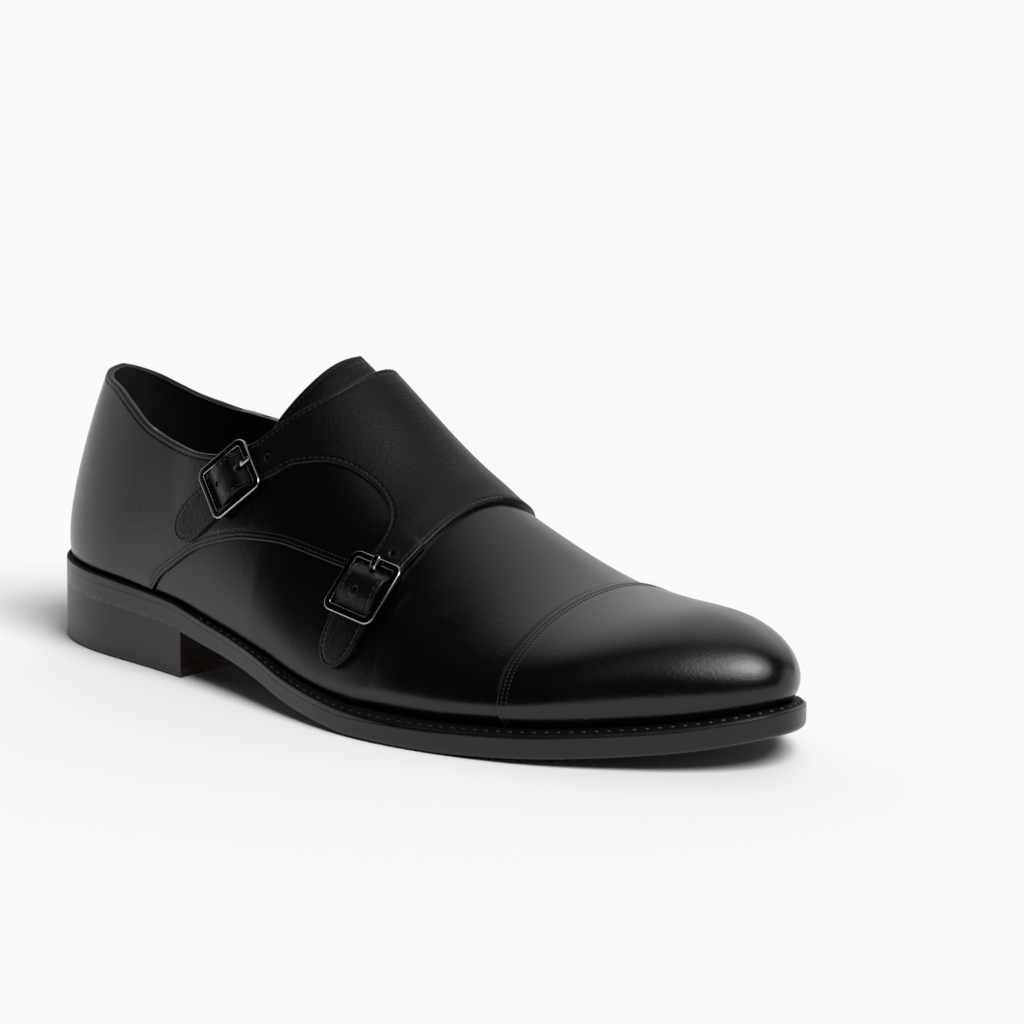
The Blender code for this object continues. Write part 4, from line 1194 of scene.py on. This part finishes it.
BUCKLE_LENGTH = 21.7                          # along the strap
BUCKLE_ROOM = 1.1                             # how much wider its opening is than the strap
BUCKLE_BAR = 2.4
BUCKLE_CORNER = 3.2
BUCKLE_HEIGHT = FLAP_FACE + 0.5
PRONG_ROOT, PRONG_END = -6.7, -11.2           # along the strap, where the prong shows
PRONG_HALF_WIDTH = {"upper": 0.85, "lower": 1.2}
PRONG_ASIDE = {"upper": -0.3, "lower": 0.2}   # across the strap
PAINTED_HIGHLIGHT_COLUMNS = (1, 2, 3, 6, 7, 8, 9)          # of the frame's section: its two bevels, bright plate as painted highlight; the flats take a dark copy as painted reflection


def rounded_rectangle(length, width, radius, steps=9):
    """(s, w) points of a rectangle with round corners, in order, and each one's outward direction."""
    turn = np.linspace(0, math.pi / 2, steps)
    points, outward = [], []
    for k, (sx, sy) in enumerate(((1, 1), (-1, 1), (-1, -1), (1, -1))):
        angle = turn + k * math.pi / 2
        away = np.stack([np.cos(angle), np.sin(angle)], -1)
        points.append(np.array([sx * (length / 2 - radius), sy * (width / 2 - radius)]) + radius * away)
        outward.append(away)
    return np.concatenate(points), np.concatenate(outward)


def make_buckle(name, strap, steel, dark_reflection_nickel):
    """A frame with two rounded bevels along each bar, its centre bar, and the prong; painted highlight on the
    bevels, painted dark reflection on the flats.

    across and rise list the frame's section, from its inner side over the top to its underside.
    """
    half = BUCKLE_BAR / 2
    width = strap.width + BUCKLE_ROOM + BUCKLE_BAR
    line, outward = rounded_rectangle(BUCKLE_LENGTH - BUCKLE_BAR, width, BUCKLE_CORNER - half)
    across = half * np.array([-1, -1, -0.97, -0.91, -0.83, 0, 0.66, 0.78, 0.89, 0.97, 1, 1, 0.8, -0.8])
    rise = np.array([0.3, 1.1, 1.24, 1.35, 1.4, 1.42, 1.4, 1.36, 1.25, 1.1, 0.9, 0.3, 0.0, 0.0])
    flat = line[:, None] + across[:, None] * outward[:, None]
    s, w = flat[..., 0], flat[..., 1]
    bend = -0.5 * (s / 10) ** 2
    frame_band = swept(strap.point(s, w, BUCKLE_HEIGHT + rise + bend), closed_path=True)
    turn = np.arange(10) * math.tau / 10
    share = np.linspace(-0.5, 0.5, 25)[:, None]
    dip = 2.3 * (1 - np.abs(2 * share) ** 10)
    bar_points = strap.point(0.9 * np.cos(turn) + 0 * share, 0 * turn + share * width,
                             BUCKLE_HEIGHT + 0.6 - dip + 0.75 * np.sin(turn))
    points, faces = joined([frame_band, swept(bar_points)])
    # Painted highlight and painted reflection: the bevel columns take the bright plate; the flats and the
    # whole centre bar take a dark copy of it that stands for the dark room seen in the metal.
    groups = striped(faces, len(across), PAINTED_HIGHLIGHT_COLUMNS, (1, 0), (1, 1, 1))
    add_piece(f"buckle_frame_{name}", points, groups, (steel, dark_reflection_nickel), "buckle_metal",
              (f"buckle_{name}",), crease=35)

    s_line = np.linspace(PRONG_ROOT + 0.9, PRONG_END, 40)
    over_bar = BUCKLE_HEIGHT + 1.5
    height = monotone(np.array([PRONG_END, PRONG_END + 0.5, -9.0, -7.8, PRONG_ROOT, PRONG_ROOT + 0.9]),
                      over_bar + np.array([0.2, 0.4, 0.5, 0.4, -0.2, -1.4]), s_line)
    left, right = s_line - PRONG_END, PRONG_ROOT + 0.9 - s_line
    slim = (1 - left / 0.9).clip(0, 1) + (1 - right / 0.9).clip(0, 1)
    half_width = PRONG_HALF_WIDTH[name] * np.sqrt(np.clip(1 - slim ** 2, 0.03, 1))
    ring_w = np.array([-1, -0.86, -0.6, 0.6, 0.86, 1, 1, 0.72, -0.72, -1])
    ring_h = np.array([0.1, 0.42, 0.58, 0.58, 0.42, 0.1, -0.28, -0.5, -0.5, -0.28])
    middle = PRONG_ASIDE[name] + half_width[:, None] * ring_w
    prong = strap.point(s_line[:, None] + 0 * ring_w, middle, height[:, None] + ring_h)
    points, faces = swept(prong)
    # The lower prong's top flat takes the dark copy of the plate: a painted dark reflection between two
    # bright lines. The rest of both prongs is the bright plate.
    groups = striped(faces, len(ring_w), (2,) if name == "lower" else (), (0, 1))
    add_piece(f"buckle_prong_{name}", points, groups, (steel, dark_reflection_nickel), "buckle_metal",
              (f"prong_{name}",), crease=35)


# ---------------------------------------------------------------------------------------------
# Materials


def linear(hex_colour):
    """An sRGB hex colour as linear RGBA."""
    levels = np.array([int(hex_colour[k:k + 2], 16) for k in (0, 2, 4)]) / 255
    return (*np.where(levels <= 0.04045, levels / 12.92, ((levels + 0.055) / 1.055) ** 2.4).tolist(), 1.0)


def node(tree, kind, inputs=(), **settings):
    """Add a shader node; inputs map a socket to a value or to the output that feeds it."""
    made = tree.nodes.new("ShaderNode" + kind)
    for key, value in settings.items():
        setattr(made, key, value)
    for key, value in dict(inputs).items():
        if isinstance(value, bpy.types.NodeSocket):
            tree.links.new(value, made.inputs[key])
        else:
            made.inputs[key].default_value = value
    return made


def new_material(name):
    """A new material, its node tree and output node, and the object's own coordinates."""
    made = bpy.data.materials.new(name)
    made.use_nodes = True
    made.node_tree.nodes.clear()
    place = node(made.node_tree, "TexCoord").outputs["Object"]
    return made, made.node_tree, node(made.node_tree, "OutputMaterial"), place


def finish_material(made, tree, out, shader):
    """Links the shader to the output and gives the material back."""
    tree.links.new(shader.outputs[0], out.inputs["Surface"])
    return made


def calf(name, tones, gloss, grain_size, grain_depth, coat=0.5):
    """Chrome-tanned calf, aniline dyed and wax polished: a wax shine over a black grain of fine
    rounded cells, a little cloudy where the polish is thicker. Grain sizes are in millimetres, two
    to three times the real ones, so that they show.
    """
    made, tree, out, place = new_material(name)
    cells = node(tree, "TexVoronoi", {"Vector": place, "Scale": 1000 / grain_size, "Randomness": 1.0},
                 feature="SMOOTH_F1")
    fibres = node(tree, "TexNoise", {"Vector": place, "Scale": 1000 / (2.4 * grain_size), "Detail": 4.0,
                                     "Roughness": 0.6})
    height = node(tree, "Math", {0: cells.outputs["Distance"], 1: 0.6, 2: fibres.outputs["Fac"]},
                  operation="MULTIPLY_ADD")
    bump = node(tree, "Bump", {"Height": height.outputs[0], "Distance": grain_depth * MM, "Strength": 1.0})
    cloud = node(tree, "TexNoise", {"Vector": place, "Scale": 1000 / 22.0, "Detail": 5.0, "Roughness": 0.62})
    rough = node(tree, "MapRange", {"Value": cloud.outputs["Fac"], "From Min": 0.3, "From Max": 0.7,
                                    "To Min": gloss - 0.03, "To Max": gloss + 0.03})
    dye = node(tree, "Mix", {"Factor": cloud.outputs["Fac"], "A": linear(tones[0]), "B": linear(tones[1])},
               data_type="RGBA")
    shader = node(tree, "BsdfPrincipled", {
        "Base Color": dye.outputs["Result"], "Roughness": rough.outputs["Result"], "IOR": 1.5,
        "Specular IOR Level": coat, "Normal": bump.outputs["Normal"]})
    return finish_material(made, tree, out, shader)


def waxed_thread(name):
    """Bonded polyester thread, twisted and waxed: grey-black with a dull shine, its twist 0.25 mm."""
    made, tree, out, place = new_material(name)
    twist = node(tree, "TexNoise", {"Vector": place, "Scale": 1000 / 0.25, "Detail": 1.0})
    bump = node(tree, "Bump", {"Height": twist.outputs["Fac"], "Distance": 0.03 * MM})
    tint = node(tree, "Mix", {"Factor": twist.outputs["Fac"], "A": linear("0e0e0f"), "B": linear("242426")},
                data_type="RGBA")
    shader = node(tree, "BsdfPrincipled", {
        "Base Color": tint.outputs["Result"], "Roughness": 0.42, "IOR": 1.5, "Normal": bump.outputs["Normal"],
        "Sheen Weight": 0.1})
    return finish_material(made, tree, out, shader)


def cut_leather(name, dark, light, gloss, streak, coat=0.5):
    """Vegetable-tanned sole leather, cut, sanded and waxed: fibres show as fine level streaks.

    Fibres lie in tufts of about 2 mm, and streak says how many times longer than high a tuft is.
    """
    made, tree, out, place = new_material(name)
    flat = node(tree, "Mapping", {"Vector": place, "Scale": (1.0, 1.0, streak)})
    fibres = node(tree, "TexNoise", {"Vector": flat.outputs["Vector"], "Scale": 1000 / 2.0, "Detail": 6.0,
                                     "Roughness": 0.65})
    stain = node(tree, "TexNoise", {"Vector": place, "Scale": 1000 / 14.0, "Detail": 3.0})
    both = node(tree, "Math", {0: fibres.outputs["Fac"], 1: stain.outputs["Fac"]}, operation="MULTIPLY")
    share = node(tree, "MapRange", {"Value": both.outputs[0], "From Min": 0.12, "From Max": 0.42})
    tint = node(tree, "Mix", {"Factor": share.outputs["Result"], "A": linear(dark), "B": linear(light)},
                data_type="RGBA")
    rough = node(tree, "MapRange", {"Value": fibres.outputs["Fac"], "From Min": 0.3, "From Max": 0.7,
                                    "To Min": gloss - 0.05, "To Max": gloss + 0.07})
    bump = node(tree, "Bump", {"Height": fibres.outputs["Fac"], "Distance": 0.02 * MM})
    shader = node(tree, "BsdfPrincipled", {
        "Base Color": tint.outputs["Result"], "Roughness": rough.outputs["Result"], "IOR": 1.5,
        "Specular IOR Level": coat, "Normal": bump.outputs["Normal"]})
    return finish_material(made, tree, out, shader)


def moulded_rubber(name):
    """Vulcanised rubber, moulded: matt black with a 0.9 mm pebble and a little dust."""
    made, tree, out, place = new_material(name)
    pebble = node(tree, "TexVoronoi", {"Vector": place, "Scale": 1000 / 0.9}, feature="SMOOTH_F1")
    bump = node(tree, "Bump", {"Height": pebble.outputs["Distance"], "Distance": 0.05 * MM})
    dust = node(tree, "TexNoise", {"Vector": place, "Scale": 1000 / 5.0, "Detail": 4.0})
    tint = node(tree, "Mix", {"Factor": dust.outputs["Fac"], "A": linear("0b0b0b"), "B": linear("1a1918")},
                data_type="RGBA")
    shader = node(tree, "BsdfPrincipled", {
        "Base Color": tint.outputs["Result"], "Roughness": 0.55, "IOR": 1.52,
        "Normal": bump.outputs["Normal"]})
    return finish_material(made, tree, out, shader)


def plated_metal(name, colour):
    """Cast zinc, tumbled and plated: a near mirror with faint tumbling marks."""
    made, tree, out, place = new_material(name)
    marks = node(tree, "TexNoise", {"Vector": place, "Scale": 1000 / 0.7, "Detail": 3.0})
    rough = node(tree, "MapRange", {"Value": marks.outputs["Fac"], "To Min": 0.10, "To Max": 0.22})
    bump = node(tree, "Bump", {"Height": marks.outputs["Fac"], "Distance": 0.004 * MM})
    shader = node(tree, "BsdfPrincipled", {
        "Base Color": linear(colour), "Metallic": 1.0, "Roughness": rough.outputs["Result"],
        "Normal": bump.outputs["Normal"]})
    return finish_material(made, tree, out, shader)


# ---------------------------------------------------------------------------------------------
# Studio


def direction(azimuth, elevation):
    """A unit vector: azimuth in degrees clockwise from the part's front (-Y), elevation up."""
    a, e = math.radians(azimuth), math.radians(elevation)
    return (math.sin(a) * math.cos(e), -math.cos(a) * math.cos(e), math.sin(e))


# Pale things round the part, as reflections find them: where each one's middle is, its half
# width and its fading edge in degrees, and how bright it is.
SURROUNDINGS = (
    (216.0, 36.0, 10.0, 42.0, 1.05),          # white backdrop, brightest halfway up
    (246.0, -8.0, 16.0, 14.0, 0.52),          # its foot, behind the heel
    (282.0, -4.0, 20.0, 12.0, 0.82),          # its low wings
    (145.0, -8.0, 18.0, 20.0, 0.95),
    (66.0, 68.0, 10.0, 28.0, 0.45),           # ceiling over the toe
)
DARK_ROOM = 0.014
SOFT_BOX_TOWARD = (77.0, 52.0)                # azimuth and elevation
SOFT_BOX_AIM = np.array([268.0, -8.0, 38.0])  # the toe's shoulder, in mm
SOFT_BOX_DISTANCE = 450.0
SOFT_BOX_DISKS = ((0.22, 1.15), (0.46, 1.45)) # width in m and watts: a bright middle and a dim rim
SUN_ANGLE, SUN_STRENGTH = 34.0, 3.42


def make_surroundings():
    """A dark room with pale things in it, which only reflections and shadows see."""
    world = bpy.data.worlds.new("studio")
    world.use_nodes = True
    tree = world.node_tree
    tree.nodes.clear()
    toward = node(tree, "TexCoord").outputs["Generated"]
    total = DARK_ROOM
    for azimuth, elevation, half_width, fade, brightness in SURROUNDINGS:
        facing = node(tree, "VectorMath", {0: toward, 1: direction(azimuth, elevation)},
                      operation="DOT_PRODUCT")
        glow = node(tree, "MapRange", {
            "Value": facing.outputs["Value"], "From Min": math.cos(math.radians(half_width + fade)),
            "From Max": math.cos(math.radians(half_width)), "To Max": brightness},
            interpolation_type="SMOOTHSTEP")
        total = node(tree, "Math", {0: total, 1: glow.outputs["Result"]}, operation="MAXIMUM").outputs[0]
    light = node(tree, "Background", {"Color": total})
    paper = node(tree, "Background", {"Color": linear("f8f8f8")})
    seen = node(tree, "LightPath").outputs["Is Camera Ray"]
    mixed = node(tree, "MixShader", {0: seen, 1: light.outputs[0], 2: paper.outputs[0]})
    tree.links.new(mixed.outputs[0], node(tree, "OutputWorld").inputs["Surface"])
    bpy.context.scene.world = world
    bpy.context.scene.view_settings.view_transform = "Standard"


def make_lamp(name, kind, place, aim, lit, **settings):
    """A lamp at a place in metres, facing aim, that lights only the pieces in lit."""
    lamp = bpy.data.lights.new(name, kind)
    for key, value in settings.items():
        setattr(lamp, key, value)
    made = bpy.data.objects.new(name, lamp)
    back = Vector(place) - Vector(aim)
    made.matrix_world = Matrix.Translation(place) @ back.to_track_quat("Z", "Y").to_matrix().to_4x4()
    made.visible_camera = False
    bpy.context.collection.objects.link(made)
    group = bpy.data.collections.new(f"lit by {name}")
    for piece in lit:
        group.objects.link(piece)
    made.light_linking.receiver_collection = group


def make_lamps(floor, pieces):
    """A soft box close to the toe for the leather, and the same light from afar for the floor."""
    toward = np.array(direction(*SOFT_BOX_TOWARD))
    aim = (SOFT_BOX_AIM - ORIGIN) * MM
    place = aim + toward * SOFT_BOX_DISTANCE * MM
    for width, watts in SOFT_BOX_DISKS:
        make_lamp(f"soft box {width} m", "AREA", place, aim, pieces, shape="DISK", size=width, energy=watts)
    make_lamp("far soft box", "SUN", toward * 2.0, (0.0, 0.0, 0.0), [floor], angle=math.radians(SUN_ANGLE),
              energy=SUN_STRENGTH)


FLOOR_BACK, FLOOR_FRONT = 5.0, 0.48           # how far the floor runs behind and before the part


def make_floor():
    """A pale board, lying square to the line of sight: a grid in its own two directions."""
    made, tree, out, place = new_material("matt white laminate")
    mottle = node(tree, "TexNoise", {"Vector": place, "Scale": 3.0, "Detail": 2.0})
    tint = node(tree, "Mix", {"Factor": mottle.outputs["Fac"], "A": linear("e6e6e6"), "B": linear("e8e8e8")},
                data_type="RGBA")
    shader = node(tree, "BsdfDiffuse", {"Color": tint.outputs["Result"]})
    finish_material(made, tree, out, shader)
    front = np.array(direction(CAMERA_AZIMUTH, 0))[:2]
    side = np.array([-front[1], front[0]])
    u, v = np.meshgrid(np.linspace(-FLOOR_BACK, FLOOR_FRONT, 9), np.linspace(-4.0, 4.0, 9), indexing="ij")
    flat = u[..., None] * front + v[..., None] * side
    points = np.concatenate([flat, np.full((*u.shape, 1), -0.0001)], -1).reshape(-1, 3)
    mesh = bpy.data.meshes.new("floor")
    mesh.from_pydata(points.tolist(), [], grid_faces(9, 9)[:, ::-1].tolist())
    mesh.materials.append(made)
    floor = bpy.data.objects.new("floor", mesh)
    bpy.context.collection.objects.link(floor)
    floor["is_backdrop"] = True
    return floor


CAMERA_AZIMUTH, CAMERA_ELEVATION, CAMERA_ROLL = 41.06, 11.38, 0.56
CAMERA_DISTANCE = 1303.5
CAMERA_LENS = 141.92                          # mm, on a 36 mm wide film
CAMERA_SHIFT = (-31.34, -13.65)               # the aim's offset across and up, in mm
CAMERA_AIM = np.array([150.0, 0.0, 45.0])


def make_camera():
    """The camera: it looks at the aim from the front and toe side, shifted and rolled a little."""
    back = np.array(direction(CAMERA_AZIMUTH, CAMERA_ELEVATION))
    right = np.array([math.cos(math.radians(CAMERA_AZIMUTH)), math.sin(math.radians(CAMERA_AZIMUTH)), 0.0])
    up = np.cross(back, right)
    place = CAMERA_AIM + CAMERA_DISTANCE * back - CAMERA_SHIFT[0] * right - CAMERA_SHIFT[1] * up
    roll = math.radians(CAMERA_ROLL)
    across = math.cos(roll) * right + math.sin(roll) * up
    upward = math.cos(roll) * up - math.sin(roll) * right
    lens = bpy.data.cameras.new("camera")
    lens.lens, lens.sensor_width, lens.clip_start, lens.clip_end = CAMERA_LENS, 36.0, 0.05, 30.0
    camera = bpy.data.objects.new("camera", lens)
    matrix = np.eye(4)
    matrix[:3, :3] = np.stack([across, upward, back], -1)
    matrix[:3, 3] = (place - ORIGIN) * MM
    camera.matrix_world = Matrix(matrix.tolist())
    bpy.context.collection.objects.link(camera)
    bpy.context.scene.camera = camera


# ---------------------------------------------------------------------------------------------

black_calf = calf("black calf, wax polished", ("030303", "050505"), 0.235, 0.55, 0.042)
flap_calf = calf("black calf, softer grain", ("030303", "060606"), 0.36, 0.85, 0.1, 0.32)
lining_calf = calf("black glove leather, drum dyed", ("101010", "242424"), 0.5, 0.8, 0.06)
thread = waxed_thread("waxed black thread")
edge_ink = cut_leather("sole leather edge, inked and burnished", "050505", "0b0a0a", 0.3, 3.0)
heel_ink = cut_leather("heel leather, inked and burnished", "050505", "0b0a0a", 0.32, 3.0, 0.4)
raw_edge = cut_leather("cut leather edge, inked", "040404", "0a0a0a", 0.5, 1.0, 0.22)
welt_ink = cut_leather("welt leather, inked matt", "010101", "030303", 0.62, 1.0, 0.12)
lift_leather = cut_leather("top lift's front edge, brown", "3a271b", "563b2a", 0.5, 8.0)
sole_leather = cut_leather("oak-bark sole leather, sanded", "1f1814", "362a22", 0.5, 1.0)
breast_leather = cut_leather("heel breast leather, stained brown", "1c110b", "2e1d14", 0.42, 8.0)
rubber = moulded_rubber("moulded rubber")
# Two copies of one nickel plate: the bright one is painted highlight on the buckles' bevels, the dark one is
# painted reflection of the dark room on their flats, centre bars and the lower prong's top.
steel = plated_metal("nickel plate, bright as painted highlight on bevels", "bcbcc0")
dark_reflection_nickel = plated_metal("nickel plate, darkened as painted reflection", "2c2c2e")

make_camera()
make_surroundings()
floor = make_floor()
make_quarters(black_calf, flap_calf, thread)
make_vamp(black_calf, lining_calf)
make_toe_cap(black_calf, thread)
make_tongue(flap_calf, thread)
make_collar(flap_calf, raw_edge)
make_sole(edge_ink, sole_leather)
make_heel(heel_ink, breast_leather, lift_leather, rubber)
make_welt(welt_ink, edge_ink, thread)
for name, strap in STRAP.items():
    make_buckle(name, strap, steel, dark_reflection_nickel)

for body_node in bpy.data.objects:
    if body_node.type == "MESH" and body_node.name.startswith("insole"):
        body_node.data.materials.clear()
        body_node.data.materials.append(lining_calf)

make_lamps(floor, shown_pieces())
